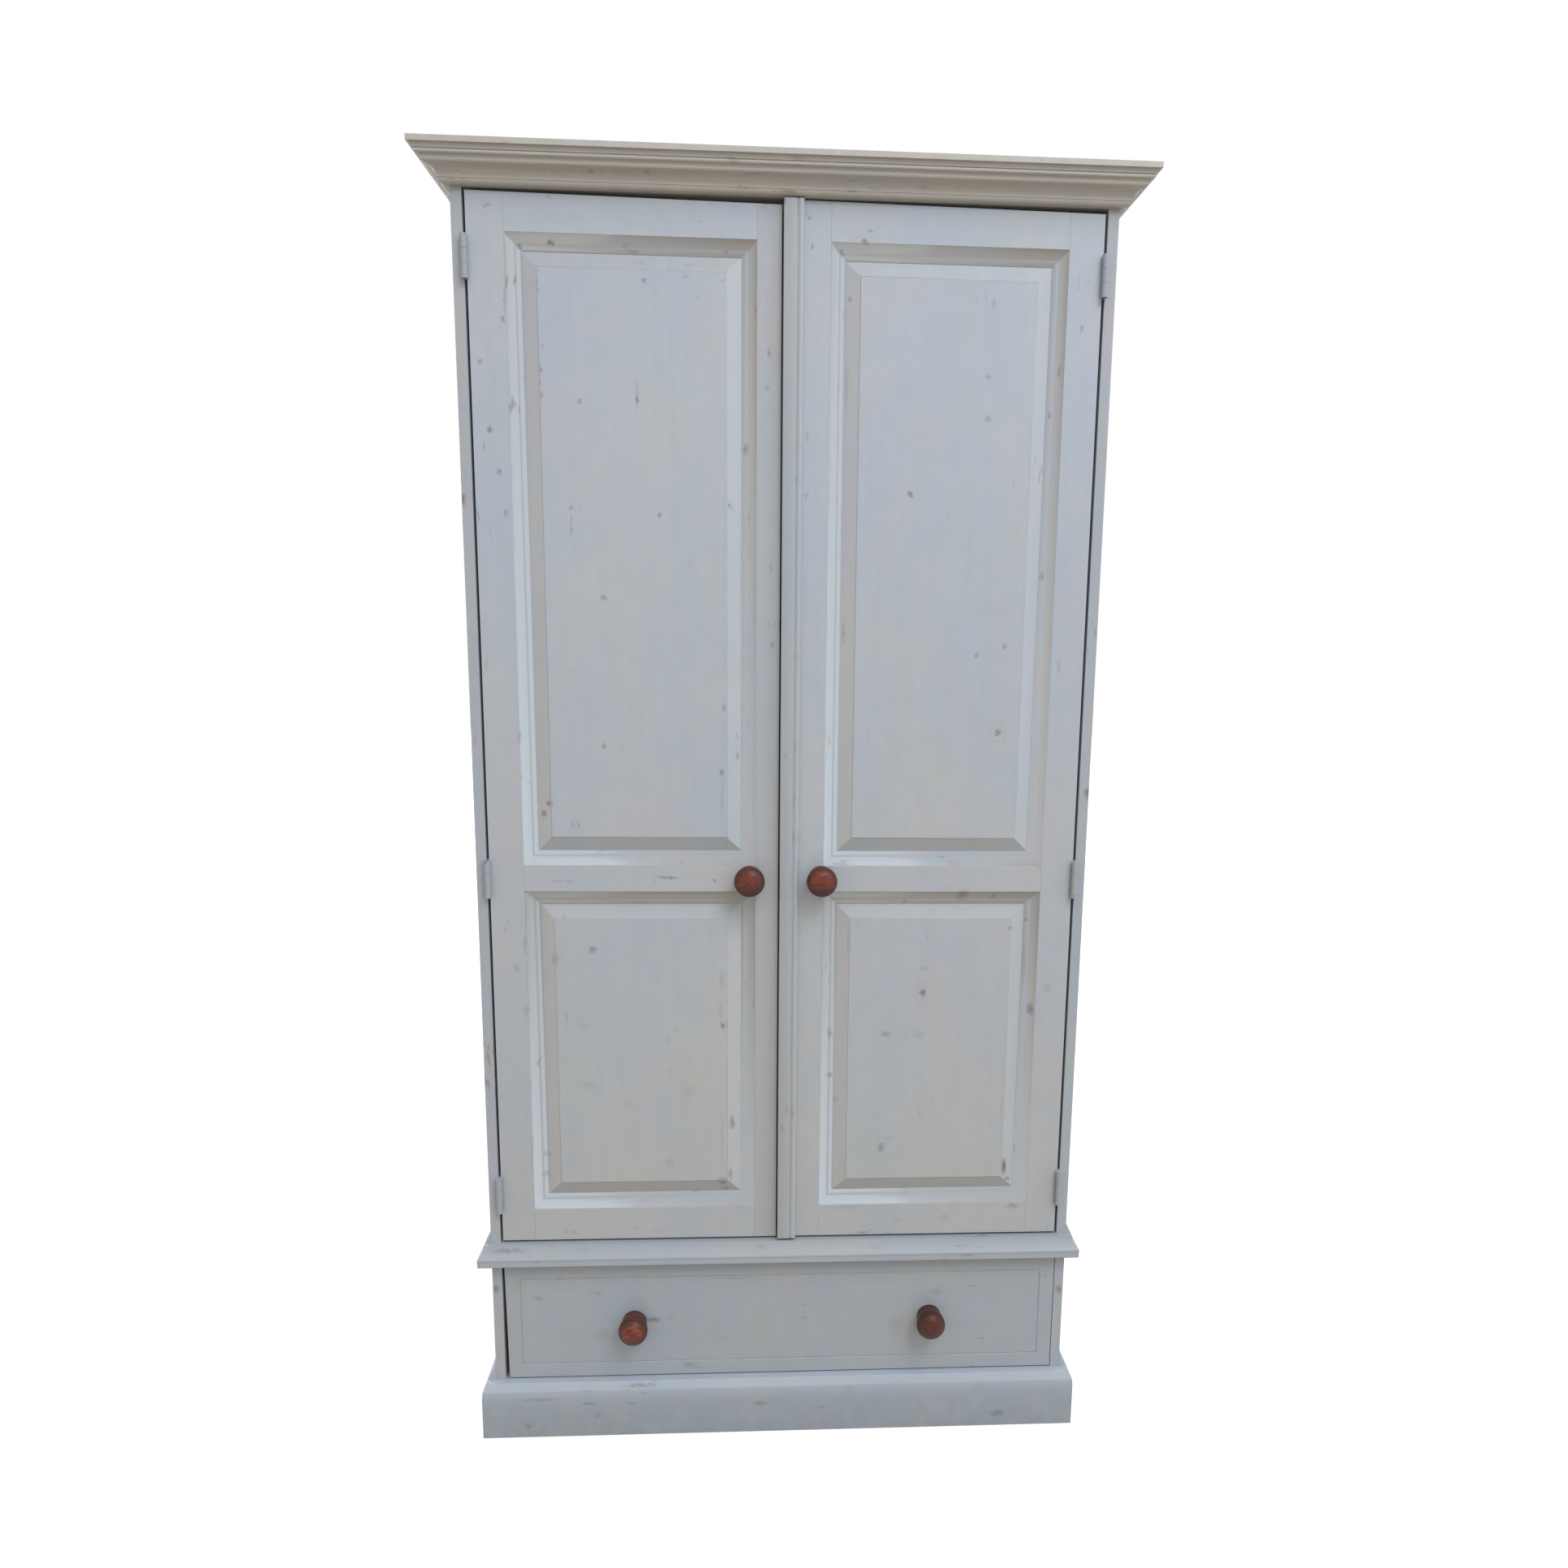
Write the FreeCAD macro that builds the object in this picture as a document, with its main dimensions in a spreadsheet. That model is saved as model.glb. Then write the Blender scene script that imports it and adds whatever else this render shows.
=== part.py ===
import FreeCAD, Part
import math
import os
import Sketcher

# A painted pine wardrobe: two framed doors with raised panels over one long drawer, with a
# mitred cornice, waist moulding and plinth planted round the front and both sides.
# Millimetres. X runs to the right, the front faces -Y, Z is up, and the origin is on the floor
# under the middle of the whole object, cornice included.

# Driving sizes
SIZES = {
    # the carcass
    "total_height": 2004,
    "body_width": 960,
    "body_depth": 560,
    "side_thickness": 16,
    "top_thickness": 16,
    "floor_thickness": 16,
    "rail_depth": 60,
    "back_thickness": 12,
    "back_rebate": 8,
    "back_tongue": 6,
    "back_tongue_thickness": 4,
    "tongue_play": 1,
    "board_play": 0.5,
    "rear_rail_thickness": 20,
    "rear_rail_height": 36,
    # the planted mouldings
    "cornice_projection": 46,
    "cornice_height": 49,
    "waist_projection": 19,
    "waist_height": 52,
    "waist_ledge": 35,
    "waist_bottom": 309,
    "plinth_projection": 20,
    "plinth_face": 71,
    "plinth_ledge": 96,
    "plinth_height": 122,
    # the doors
    "door_thickness": 24,
    "hinge_gap": 4,
    "door_bottom_gap": 4,
    "left_gap_at_hinge": 3.5,
    "left_gap_at_strip": 9,
    "right_gap_at_strip": 2,
    "right_gap_at_hinge": 7,
    "left_hinge_stile": 53,
    "left_meeting_stile": 36,
    "right_meeting_stile": 51,
    "right_hinge_stile": 51,
    "bottom_rail": 55,
    "lower_opening": 534,
    "lock_rail": 42,
    "upper_panel_drop": 57,
    "tenon_length": 28,
    "tenon_height": 24,
    "joint_play": 0.2,
    "groove_depth": 9,
    "panel_edge_play": 1,
    "panel_tongue": 6,
    "moulding_width": 22,
    "moulding_depth": 12,
    "bevel_width": 21,
    "field_depth": 3,
    "field_step": 1,
    "strip_width": 30,
    "strip_thickness": 9,
    "strip_tongue": 18,
    "strip_bead": 9,
    "strip_quirk": 2,
    "meeting_gap": 2,
    "stop_thickness": 18,
    "stop_overlap": 30,
    "stop_play": 0.3,
    # the butt hinges
    "hinge_height": 60,
    "top_hinge_drop": 93,
    "bottom_hinge_rise": 82,
    "leaf_thickness": 1.5,
    "leaf_width": 21,
    "knuckle_radius": 5,
    "knuckle_stand": 6,
    "knuckle_play": 0.3,
    "pin_radius": 1.5,
    "pin_play": 0.05,
    # the drawer
    "drawer_gap_left": 4,
    "drawer_front_slant": 3,
    "drawer_gap_right": 1,
    "drawer_gap_top": 7,
    "drawer_gap_bottom": 2,
    "drawer_front_thickness": 22,
    "drawer_lap": 8,
    "drawer_side_thickness": 12,
    "drawer_back_clearance": 60,
    "drawer_side_drop": 14,
    "drawer_bottom_thickness": 8,
    "drawer_bottom_rise": 12,
    "drawer_groove": 5,
    "line_inset": 24,
    "line_width": 2,
    "line_depth": 1,
    "runner_width": 26,
    "runner_height": 20,
    "runner_play": 0.3,
    "kicker_width": 20,
    "kicker_play": 4,
    "drawer_stop_length": 50,
    "drawer_stop_depth": 18,
    "drawer_stop_height": 8,
    "drawer_stop_place": 200,
    # the turned knobs
    "knob_projection": 45,
    "knob_radius": 24,
    "knob_tenon_radius": 7,
    "knob_rise": 22,
    "left_knob_inset": 45,
    "right_knob_inset": 48,
    "drawer_knob_height": 197,
    "left_drawer_knob": 247,
    "right_drawer_knob": 250,
    # the hanging rail
    "hanging_rail_radius": 14,
    "hanging_rail_drop": 100,
    "socket_radius": 30,
    "socket_thickness": 12,
    "socket_play": 0.3,
    # how far a cutting solid runs past what it cuts
    "overrun": 5,
}

# Outlines of the planted mouldings, from the bottom of the front to the top.
# Each point is a share of the projection and a share of the height, and then how the run to the
# next point bends: 0 is straight, else the radius as a share of the run's length, which is
# positive for a hollow and negative for a round.
CORNICE_SHARES = (
    (0.065, 0.00, 0),
    (0.065, 0.02, -0.60),
    (0.283, 0.15, 0),
    (0.305, 0.15, 0.75),
    (0.565, 0.43, 0),
    (0.590, 0.44, -0.62),
    (0.690, 0.56, 0),
    (0.695, 0.60, 0),
    (0.815, 0.62, -0.70),
    (0.830, 0.71, 0),
    (0.870, 0.72, 0),
    (0.900, 0.80, 0),
    (0.913, 0.82, 0),
    (1.000, 0.84, 0),
    (1.000, 1.00, 0),
)
WAIST_NOSE_SHARES = (
    (0.90, 0.00, -0.71),
    (1.00, 0.05, 0),
    (1.00, 0.20, -0.72),
    (0.87, 0.33, 0),
    (0.79, 0.34, 1.60),
)
WAIST_LEDGE_SHARE = 0.47
WAIST_TAIL_SHARES = (
    (0.10, 0.94, 0),
    (0.03, 1.00, 0),
)
PLINTH_ROUND_SHARE = 0.95
PLINTH_LEDGE_SHARE = 0.66
PLINTH_TAIL_SHARES = (
    (0.16, 0.94, 0),
    (0.04, 1.00, 0),
)

# Section of the moulding round a panel: shares of its width, inwards from the frame, and of its
# depth, down from the face of the frame.
PANEL_MOULDING_SHARES = (
    (0.02, 0.04, 2.00),
    (0.56, 0.72, 0),
    (0.58, 0.74, -1.60),
    (0.95, 0.95, 0),
    (1.00, 0.96, 0),
)

# Section of a turned knob in straight runs: shares of its projection and of its radius.
KNOB_SHARES = (
    (0.00, 0.79),
    (0.07, 0.79),
    (0.13, 0.66),
    (0.32, 0.53),
    (0.47, 0.66),
    (0.61, 0.92),
    (0.72, 1.00),
    (0.82, 0.94),
    (0.91, 0.72),
    (0.97, 0.42),
    (1.00, 0.16),
)


class Size:
    """A length: its amount in millimetres and the expression that gives it."""

    def __init__(self, amount, text):
        self.amount = float(amount)
        self.text = text

    def __add__(self, other):
        return Size(self.amount + other.amount, "(%s + %s)" % (self.text, other.text))

    def __sub__(self, other):
        return Size(self.amount - other.amount, "(%s - %s)" % (self.text, other.text))

    def __neg__(self):
        return Size(-self.amount, "(0 - %s)" % self.text)

    def __mul__(self, share):
        return Size(self.amount * share, "(%s * %s)" % (self.text, share))

    def __truediv__(self, share):
        return Size(self.amount / share, "(%s / %s)" % (self.text, share))

    def between(self, other, place, start, end):
        """The length that runs evenly from this one at start to the other one at end."""
        part = (place.amount - start.amount) / (end.amount - start.amount)
        text = "(%s + (%s - %s) * (%s - %s) / (%s - %s))" % (
            self.text, other.text, self.text, place.text, start.text, end.text, start.text)
        return Size(self.amount + (other.amount - self.amount) * part, text)


class Named:
    """The driving sizes, each under its own name."""


doc = FreeCAD.newDocument("wardrobe")
sheet = doc.addObject("Spreadsheet::Sheet", "Sizes")
S = Named()
for row, (alias, amount) in enumerate(SIZES.items(), start=1):
    sheet.set("A%d" % row, alias)
    sheet.set("B%d" % row, str(amount))
    sheet.setAlias("B%d" % row, alias)
    setattr(S, alias, Size(amount, "Sizes." + alias))
doc.recompute()

ZERO = Size(0, "0")
pieces = {}


# Helpers that make bound features

def keep(name, feature):
    """Give a finished sub-part its own label."""
    feature.Label = name
    pieces[name] = feature
    return feature


def bind(feature, **sizes):
    for name, size in sizes.items():
        feature.setExpression(name, size.text)
    return feature


def put(feature, corner):
    """Place a feature at a point whose three coordinates are sizes."""
    for axis, place in zip("xyz", corner):
        feature.setExpression("Placement.Base." + axis, place.text)
    return feature


def block(name, corner, spans):
    """A plain rectangular board from its lowest corner and its three spans."""
    box = doc.addObject("Part::Box", name)
    bind(box, Length=spans[0], Width=spans[1], Height=spans[2])
    return put(box, corner)


def rod(name, centre, radius, length, turn=None):
    """A cylinder that stands on its centre, or lies along the turned axis."""
    cylinder = doc.addObject("Part::Cylinder", name)
    if turn:
        cylinder.Placement = FreeCAD.Placement(FreeCAD.Vector(), turn)
    bind(cylinder, Radius=radius, Height=length)
    return put(cylinder, centre)


def pin_hole(name, centre, radius, length, sides=12):
    """A tool for an upright hole with flat sides, each of them the radius away from its axis."""
    prism = doc.addObject("Part::Prism", name)
    prism.Polygon = sides
    bind(prism, Circumradius=radius / math.cos(math.pi / sides), Height=length)
    return put(prism, centre)


def fused(name, shapes):
    fuse = doc.addObject("Part::MultiFuse", name)
    fuse.Shapes = shapes
    return fuse


def cut(name, base, tool):
    difference = doc.addObject("Part::Cut", name)
    difference.Base = base
    difference.Tool = tool
    return difference


def group(name, members):
    """Separate solids that make one node."""
    compound = doc.addObject("Part::Compound", name)
    compound.Links = members
    return keep(name, compound)


def sketch_arc(start, end, bend):
    """The arc between two points whose radius is bend times the distance between them."""
    run = (end[0] - start[0], end[1] - start[1])
    chord = math.hypot(*run)
    radius = abs(bend) * chord
    rise = math.copysign(math.sqrt(radius ** 2 - chord ** 2 / 4), bend)
    middle_x = (start[0] + end[0]) / 2 - run[1] / chord * rise
    middle_y = (start[1] + end[1]) / 2 + run[0] / chord * rise
    angles = [math.atan2(point[1] - middle_y, point[0] - middle_x) for point in (start, end)]
    if bend < 0:
        angles.reverse()
    circle = Part.Circle(FreeCAD.Vector(middle_x, middle_y, 0), FreeCAD.Vector(0, 0, 1), radius)
    return Part.ArcOfCircle(circle, angles[0], angles[1])


def outline(body, plane_role, points, height=ZERO):
    """A closed sketch on one of the body's own planes, every corner bound to its two sizes."""
    plane = [face for face in body.Origin.OriginFeatures if face.Role == plane_role][0]
    sketch = body.newObject("Sketcher::SketchObject", body.Name + "_outline")
    sketch.AttachmentSupport = [(plane, "")]
    sketch.MapMode = "FlatFace"
    sketch.setExpression("AttachmentOffset.Base.z", height.text)
    corners = [(point[0].amount, point[1].amount) for point in points]
    bends = [point[2] if len(point) > 2 else 0 for point in points]
    for number, bend in enumerate(bends):
        start = corners[number]
        end = corners[(number + 1) % len(points)]
        if bend:
            sketch.addGeometry(sketch_arc(start, end, bend))
        else:
            sketch.addGeometry(Part.LineSegment(FreeCAD.Vector(*start, 0), FreeCAD.Vector(*end, 0)))
    # the first point of an arc that turns clockwise is its second end
    first = [2 if bend < 0 else 1 for bend in bends]
    for number, point in enumerate(points):
        following = (number + 1) % len(points)
        sketch.addConstraint(Sketcher.Constraint(
            "Coincident", number, 3 - first[number], following, first[following]))
        for kind, size in (("DistanceX", point[0]), ("DistanceY", point[1])):
            place = sketch.addConstraint(Sketcher.Constraint(
                kind, -1, 1, number, first[number], size.amount))
            sketch.setExpression("Constraints[%d]" % place, size.text)
        if bends[number]:
            across = points[following][0] - point[0]
            along = points[following][1] - point[1]
            radius = abs(bends[number]) * math.hypot(across.amount, along.amount)
            place = sketch.addConstraint(Sketcher.Constraint("Radius", number, radius))
            sketch.setExpression("Constraints[%d]" % place, "%s * sqrt(%s ^ 2 + %s ^ 2)" % (
                abs(bends[number]), across.text, along.text))
    return sketch


def pad(body, sketch, length):
    feature = body.newObject("PartDesign::Pad", body.Name + "_pad")
    feature.Profile = sketch
    return bind(feature, Length=length)


def pocket(body, sketch, length):
    """A cut that runs the same way as a pad from the same sketch would."""
    feature = body.newObject("PartDesign::Pocket", body.Name + "_pocket")
    feature.Profile = sketch
    feature.Reversed = True
    return bind(feature, Length=length)


def new_body(name):
    return doc.addObject("PartDesign::Body", name)


def rectangle(low, spans):
    return ((low[0], low[1]), (low[0] + spans[0], low[1]),
            (low[0] + spans[0], low[1] + spans[1]), (low[0], low[1] + spans[1]))


def add_block(body, corner, spans):
    """A rectangular pad in a body, from its lowest corner and its three spans."""
    return pad(body, outline(body, "XY_Plane", rectangle(corner[:2], spans[:2]), corner[2]), spans[2])


def cut_block(body, corner, spans):
    """A rectangular cut in a body, from its lowest corner and its three spans."""
    return pocket(body, outline(body, "XY_Plane", rectangle(corner[:2], spans[:2]), corner[2]),
                  spans[2])


def mitre_waste(corner, inward, reach, along_first):
    """The triangle that a mitre takes off a moulding, from the corner where two lengths meet."""
    near = [place - S.overrun * sign for place, sign in zip(corner, inward)]
    far = [place + (reach + S.overrun) * sign for place, sign in zip(corner, inward)]
    third = (near[0], far[1]) if along_first else (far[0], near[1])
    return ((near[0], near[1]), third, (far[0], far[1]))


# Places that several sub-parts share
half_width = S.body_width / 2
half_inner = half_width - S.side_thickness
front = (S.cornice_projection - S.body_depth) / 2
back = front + S.body_depth
back_face = back - S.back_thickness
under_top = S.total_height - S.top_thickness
lip = S.total_height - S.cornice_height
waist_top = S.waist_bottom + S.waist_ledge
floor_under = waist_top - S.floor_thickness
inner_span = half_inner * 2
inner_depth = back_face - front - S.rail_depth
behind_rail = front + S.rail_depth
door_back = front + S.door_thickness


def carcass_boards():
    """The two sides, rebated for the back, with the boards and rails between them."""
    for side, sign in (("left", -1), ("right", 1)):
        body = keep("side_" + side, new_body("side_" + side))
        outer = half_width * sign
        inner = half_inner * sign
        rebate = (half_inner + S.back_rebate) * sign
        pad(body, outline(body, "XY_Plane", (
            (outer, front), (inner, front), (inner, back_face),
            (rebate, back_face), (rebate, back), (outer, back))), under_top)
    keep("top_board", block("top_board", (-half_width, front, under_top),
                            (S.body_width, S.body_depth, S.top_thickness)))
    rail_thickness = S.door_thickness + S.stop_play
    keep("head_rail", block("head_rail", (-half_inner, front, lip),
                            (inner_span, rail_thickness, under_top - lip)))
    keep("door_stop", block("door_stop", (-half_inner, front + rail_thickness, lip - S.stop_overlap),
                            (inner_span, S.stop_thickness, under_top - lip + S.stop_overlap)))
    keep("floor_board", block("floor_board", (-half_inner, behind_rail, floor_under),
                              (inner_span, inner_depth, S.floor_thickness)))
    keep("drawer_top_rail", block("drawer_top_rail", (-half_inner, front, S.waist_bottom),
                                  (inner_span, S.rail_depth, S.waist_ledge)))
    rail_low = S.plinth_ledge - S.rear_rail_height
    keep("drawer_bottom_rail", block("drawer_bottom_rail", (-half_inner, front, rail_low),
                                     (inner_span, S.rail_depth, S.rear_rail_height)))
    keep("rear_bottom_rail", block(
        "rear_bottom_rail", (-half_inner, back_face - S.rear_rail_thickness, rail_low),
        (inner_span, S.rear_rail_thickness, S.rear_rail_height)))


def back_boards(count=3):
    """Upright boards across the back, each with its tongue in the groove of the next."""
    left_end = -(half_inner + S.back_rebate) + S.board_play
    pitch = ((half_inner + S.back_rebate - S.board_play) * 2) / count
    low = S.plinth_ledge - S.rear_rail_height
    tongue_low = back_face + (S.back_thickness - S.back_tongue_thickness) / 2
    tongue_high = tongue_low + S.back_tongue_thickness
    for number in range(count):
        name = "back_board_%d" % (number + 1)
        body = keep(name, new_body(name))
        start = left_end + pitch * number
        last = number == count - 1
        end = start + pitch - (ZERO if last else S.board_play)
        points = [(start, back), (start, back_face), (end, back_face)]
        if not last:
            tip = end + S.back_tongue
            points += [(end, tongue_low), (tip, tongue_low), (tip, tongue_high), (end, tongue_high)]
        points.append((end, back))
        pad(body, outline(body, "XY_Plane", points, low), under_top - low)
        if number:
            reach = S.back_tongue + S.tongue_play
            cut_block(body, (start - S.overrun, tongue_low - S.joint_play, low - S.overrun),
                      (reach + S.overrun, S.back_tongue_thickness + S.joint_play * 2,
                       under_top - low + S.overrun * 2))


def drawer_supports():
    """What carries, guides and stops the drawer, in pairs."""
    span = inner_depth - S.rear_rail_thickness
    runners = []
    kickers = []
    stops = []
    kicker_low = S.waist_bottom - S.drawer_gap_top + S.kicker_play
    for side, sign in (("left", -1), ("right", 1)):
        runner_edge = half_inner * sign - (S.runner_width if sign > 0 else ZERO)
        runners.append(block("runner_" + side, (runner_edge, behind_rail,
                                                S.plinth_ledge - S.runner_height),
                             (S.runner_width, span, S.runner_height)))
        kicker_edge = half_inner * sign - (S.kicker_width if sign > 0 else ZERO)
        kickers.append(block("kicker_" + side, (kicker_edge, behind_rail, kicker_low),
                             (S.kicker_width, inner_depth, floor_under - kicker_low)))
        stops.append(block("stop_" + side, (
            S.drawer_stop_place * sign - S.drawer_stop_length / 2,
            front + S.drawer_front_thickness + S.stop_play, S.plinth_ledge),
            (S.drawer_stop_length, S.drawer_stop_depth, S.drawer_stop_height)))
    group("drawer_runners", runners)
    group("drawer_kickers", kickers)
    group("drawer_stops", stops)


def shaped(shares, projection, low, height):
    """Points of a moulding's outline from its table of shares."""
    return [(projection * across, low + height * up, bend) for across, up, bend in shares]


def planted_moulding(name, points, projection, low, high, front_points=None, ledge=None):
    """A moulding in three mitred lengths round the front and both sides of the carcass.

    Where the front length ends lower, on a ledge, each side length ends flush with the
    carcass above that ledge.
    """
    def closed(run, place):
        ends = [(ZERO, run[0][1], 0)] + list(run) + [(ZERO, run[-1][1], 0)]
        return [(place(point[0]), point[1], point[2]) for point in ends]

    # the front length, drawn looking along X
    body = keep(name + "_front", new_body(name + "_front"))
    section = closed(front_points or points, lambda out: front - out)
    full = half_width + projection
    pad(body, outline(body, "YZ_Plane", section, -full), full * 2)
    rise = high - low + S.overrun * 2
    for sign in (-1, 1):
        waste = mitre_waste((half_width * sign, front), (sign, -1), projection, False)
        pocket(body, outline(body, "XY_Plane", waste, low - S.overrun), rise)
    # the two side lengths, drawn looking along Y
    for side, sign in (("left", -1), ("right", 1)):
        body = keep("%s_%s" % (name, side), new_body("%s_%s" % (name, side)))
        section = [(place, up, -bend * sign) for place, up, bend in
                   closed(points, lambda out: (half_width + out) * sign)]
        pad(body, outline(body, "XZ_Plane", section, -back), S.body_depth + projection)
        waste = mitre_waste((half_width * sign, front), (sign, -1), projection, True)
        pocket(body, outline(body, "XY_Plane", waste, low - S.overrun), rise)
        if ledge:
            start = half_width - S.overrun if sign > 0 else -(half_width + projection + S.overrun)
            cut_block(body, (start, front - projection - S.overrun, ledge),
                      (projection + S.overrun * 2, projection + S.overrun, rise))


def mouldings():
    """The cornice, the waist moulding over the drawer and the plinth on the floor."""
    cornice = shaped(CORNICE_SHARES, S.cornice_projection, lip, S.cornice_height)
    planted_moulding("cornice", cornice, S.cornice_projection, lip, S.total_height)

    nose = shaped(WAIST_NOSE_SHARES, S.waist_projection, S.waist_bottom, S.waist_height)
    tail = shaped(WAIST_TAIL_SHARES, S.waist_projection, S.waist_bottom, S.waist_height)
    ledge = [(S.waist_projection * WAIST_LEDGE_SHARE, waist_top, 0)]
    planted_moulding("waist", nose + ledge + tail, S.waist_projection, S.waist_bottom,
                     S.waist_bottom + S.waist_height, nose + ledge, waist_top)

    board = [(S.plinth_projection, ZERO, 0), (S.plinth_projection, S.plinth_face, 0),
             (S.plinth_projection * PLINTH_ROUND_SHARE, (S.plinth_face + S.plinth_ledge) / 2, 0),
             (S.plinth_projection * PLINTH_LEDGE_SHARE, S.plinth_ledge, 0)]
    tail = shaped(PLINTH_TAIL_SHARES, S.plinth_projection, ZERO, S.plinth_height)
    planted_moulding("plinth", board + tail, S.plinth_projection, ZERO, S.plinth_height,
                     board, S.plinth_ledge)


# The doors

class Door:
    """The lines that one door is set out on."""

    def __init__(self, side, low, high, low_stile, high_stile, low_gap, high_gap):
        self.side = side
        self.edges = (low, high)
        self.sight = (low + low_stile, high - high_stile)
        self.tops = (lip - low_gap, lip - high_gap)
        self.foot = waist_top + S.door_bottom_gap
        lower_low = self.foot + S.bottom_rail
        lower_high = lower_low + S.lower_opening
        upper_low = lower_high + S.lock_rail
        self.openings = {"lower": (lower_low, lower_high),
                         "upper": (upper_low, lip - S.upper_panel_drop)}

    def top_at(self, place):
        """Height of the door's top edge, which falls slightly from one end to the other."""
        return self.tops[0].between(self.tops[1], place, self.edges[0], self.edges[1])


hinge_line = half_inner - S.hinge_gap
half_tongue = S.strip_tongue / 2
DOORS = (
    Door("left", -hinge_line, -(half_tongue + S.meeting_gap), S.left_hinge_stile,
         S.left_meeting_stile, S.left_gap_at_hinge, S.left_gap_at_strip),
    Door("right", half_tongue, hinge_line, S.right_meeting_stile,
         S.right_hinge_stile, S.right_gap_at_strip, S.right_gap_at_hinge),
)
groove_front = front + S.moulding_depth
groove_width = S.panel_tongue + S.joint_play * 2
tenon_front = groove_front + S.joint_play


def knob_holes(body, places, height):
    """Round holes from the front face right through a board for the tenons of knobs."""
    for place in places:
        sketch = body.newObject("Sketcher::SketchObject", body.Name + "_hole")
        plane = [face for face in body.Origin.OriginFeatures if face.Role == "XZ_Plane"][0]
        sketch.AttachmentSupport = [(plane, "")]
        sketch.MapMode = "FlatFace"
        sketch.setExpression("AttachmentOffset.Base.z", (-(door_back + S.overrun)).text)
        radius = S.knob_tenon_radius + S.joint_play
        sketch.addGeometry(Part.Circle(FreeCAD.Vector(place.amount, height.amount, 0),
                                       FreeCAD.Vector(0, 0, 1), radius.amount))
        for kind, size in (("DistanceX", place), ("DistanceY", height)):
            number = sketch.addConstraint(Sketcher.Constraint(kind, -1, 1, 0, 3, size.amount))
            sketch.setExpression("Constraints[%d]" % number, size.text)
        number = sketch.addConstraint(Sketcher.Constraint("Radius", 0, radius.amount))
        sketch.setExpression("Constraints[%d]" % number, radius.text)
        pocket(body, sketch, S.door_thickness + S.overrun * 2)


def tenon_spans(door):
    """Lowest edge of each rail's tenon."""
    lower_low, lower_high = door.openings["lower"]
    upper_high = door.openings["upper"][1]
    return {"bottom_rail": door.foot + S.groove_depth,
            "lock_rail": lower_high + S.groove_depth,
            "top_rail": upper_high + S.groove_depth}


def stiles(door):
    """The two upright members, grooved for the panels and mortised for the rails."""
    places = ((door.edges[0], door.sight[0], 1), (door.sight[1], door.edges[1], -1))
    names = ("hinge_stile", "meeting_stile")
    if door.side == "right":
        names = ("meeting_stile", "hinge_stile")
    for (low, high, facing), part in zip(places, names):
        name = "%s_door_%s" % (door.side, part)
        body = keep(name, new_body(name))
        pad(body, outline(body, "XZ_Plane", (
            (low, door.foot), (high, door.foot), (high, door.top_at(high)),
            (low, door.top_at(low))), -door_back), S.door_thickness)
        grooved = high - S.groove_depth if facing > 0 else low - S.overrun
        cut_block(body, (grooved, groove_front, door.foot - S.overrun),
                  (S.groove_depth + S.overrun, groove_width, S.total_height))
        reach = S.tenon_length + S.joint_play
        mortised = high - reach if facing > 0 else low - S.overrun
        for height in tenon_spans(door).values():
            cut_block(body, (mortised, groove_front, height - S.joint_play),
                      (reach + S.overrun, groove_width, S.tenon_height + S.joint_play * 2))
        if part == "meeting_stile":
            inset = -S.left_knob_inset if door.side == "left" else S.right_knob_inset
            meeting = door.edges[1] if door.side == "left" else door.edges[0]
            door.knob = meeting + inset


def rails(door):
    """The three cross members with a tenon at each end and grooves for the panels."""
    low, high = door.sight
    lower_low, lower_high = door.openings["lower"]
    upper_low, upper_high = door.openings["upper"]
    spans = {
        "bottom_rail": (door.foot, lower_low, lower_low, False, True),
        "lock_rail": (lower_high, upper_low, upper_low, True, True),
        "top_rail": (upper_high, door.top_at(low), door.top_at(high), True, False),
    }
    for part, (foot, top_low, top_high, groove_under, groove_over) in spans.items():
        name = "%s_door_%s" % (door.side, part)
        body = keep(name, new_body(name))
        pad(body, outline(body, "XZ_Plane", (
            (low, foot), (high, foot), (high, top_high), (low, top_low)), -door_back),
            S.door_thickness)
        for wanted, edge in ((groove_under, foot - S.overrun), (groove_over, top_low - S.groove_depth)):
            if wanted:
                cut_block(body, (low - S.overrun, groove_front, edge),
                          (high - low + S.overrun * 2, groove_width, S.groove_depth + S.overrun))
        add_block(body, (low - S.tenon_length, tenon_front, tenon_spans(door)[part]),
                  (high - low + S.tenon_length * 2, S.panel_tongue, S.tenon_height))


def panel(door, level):
    """A raised and fielded panel: a tongue all round, a bevel and a flat field."""
    name = "%s_door_%s_panel" % (door.side, level)
    body = keep(name, new_body(name))
    low, high = door.sight
    foot, top = door.openings[level]
    reach = S.groove_depth - S.panel_edge_play

    def face(inset, depth):
        points = rectangle((low + inset, foot + inset),
                           (high - low - inset * 2, top - foot - inset * 2))
        return outline(body, "XZ_Plane", points, -(front + depth))

    margin = S.moulding_depth + S.joint_play
    pad(body, face(-reach, margin + S.panel_tongue), S.panel_tongue)
    sight = S.moulding_width + S.joint_play
    shoulder = S.field_depth + S.field_step
    bevel = body.newObject("PartDesign::AdditiveLoft", name + "_bevel")
    bevel.Profile = face(sight, margin)
    bevel.Sections = [face(sight + S.bevel_width, shoulder)]
    bevel.Ruled = True
    pad(body, face(sight + S.bevel_width + S.field_step, shoulder), S.field_step)


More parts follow.
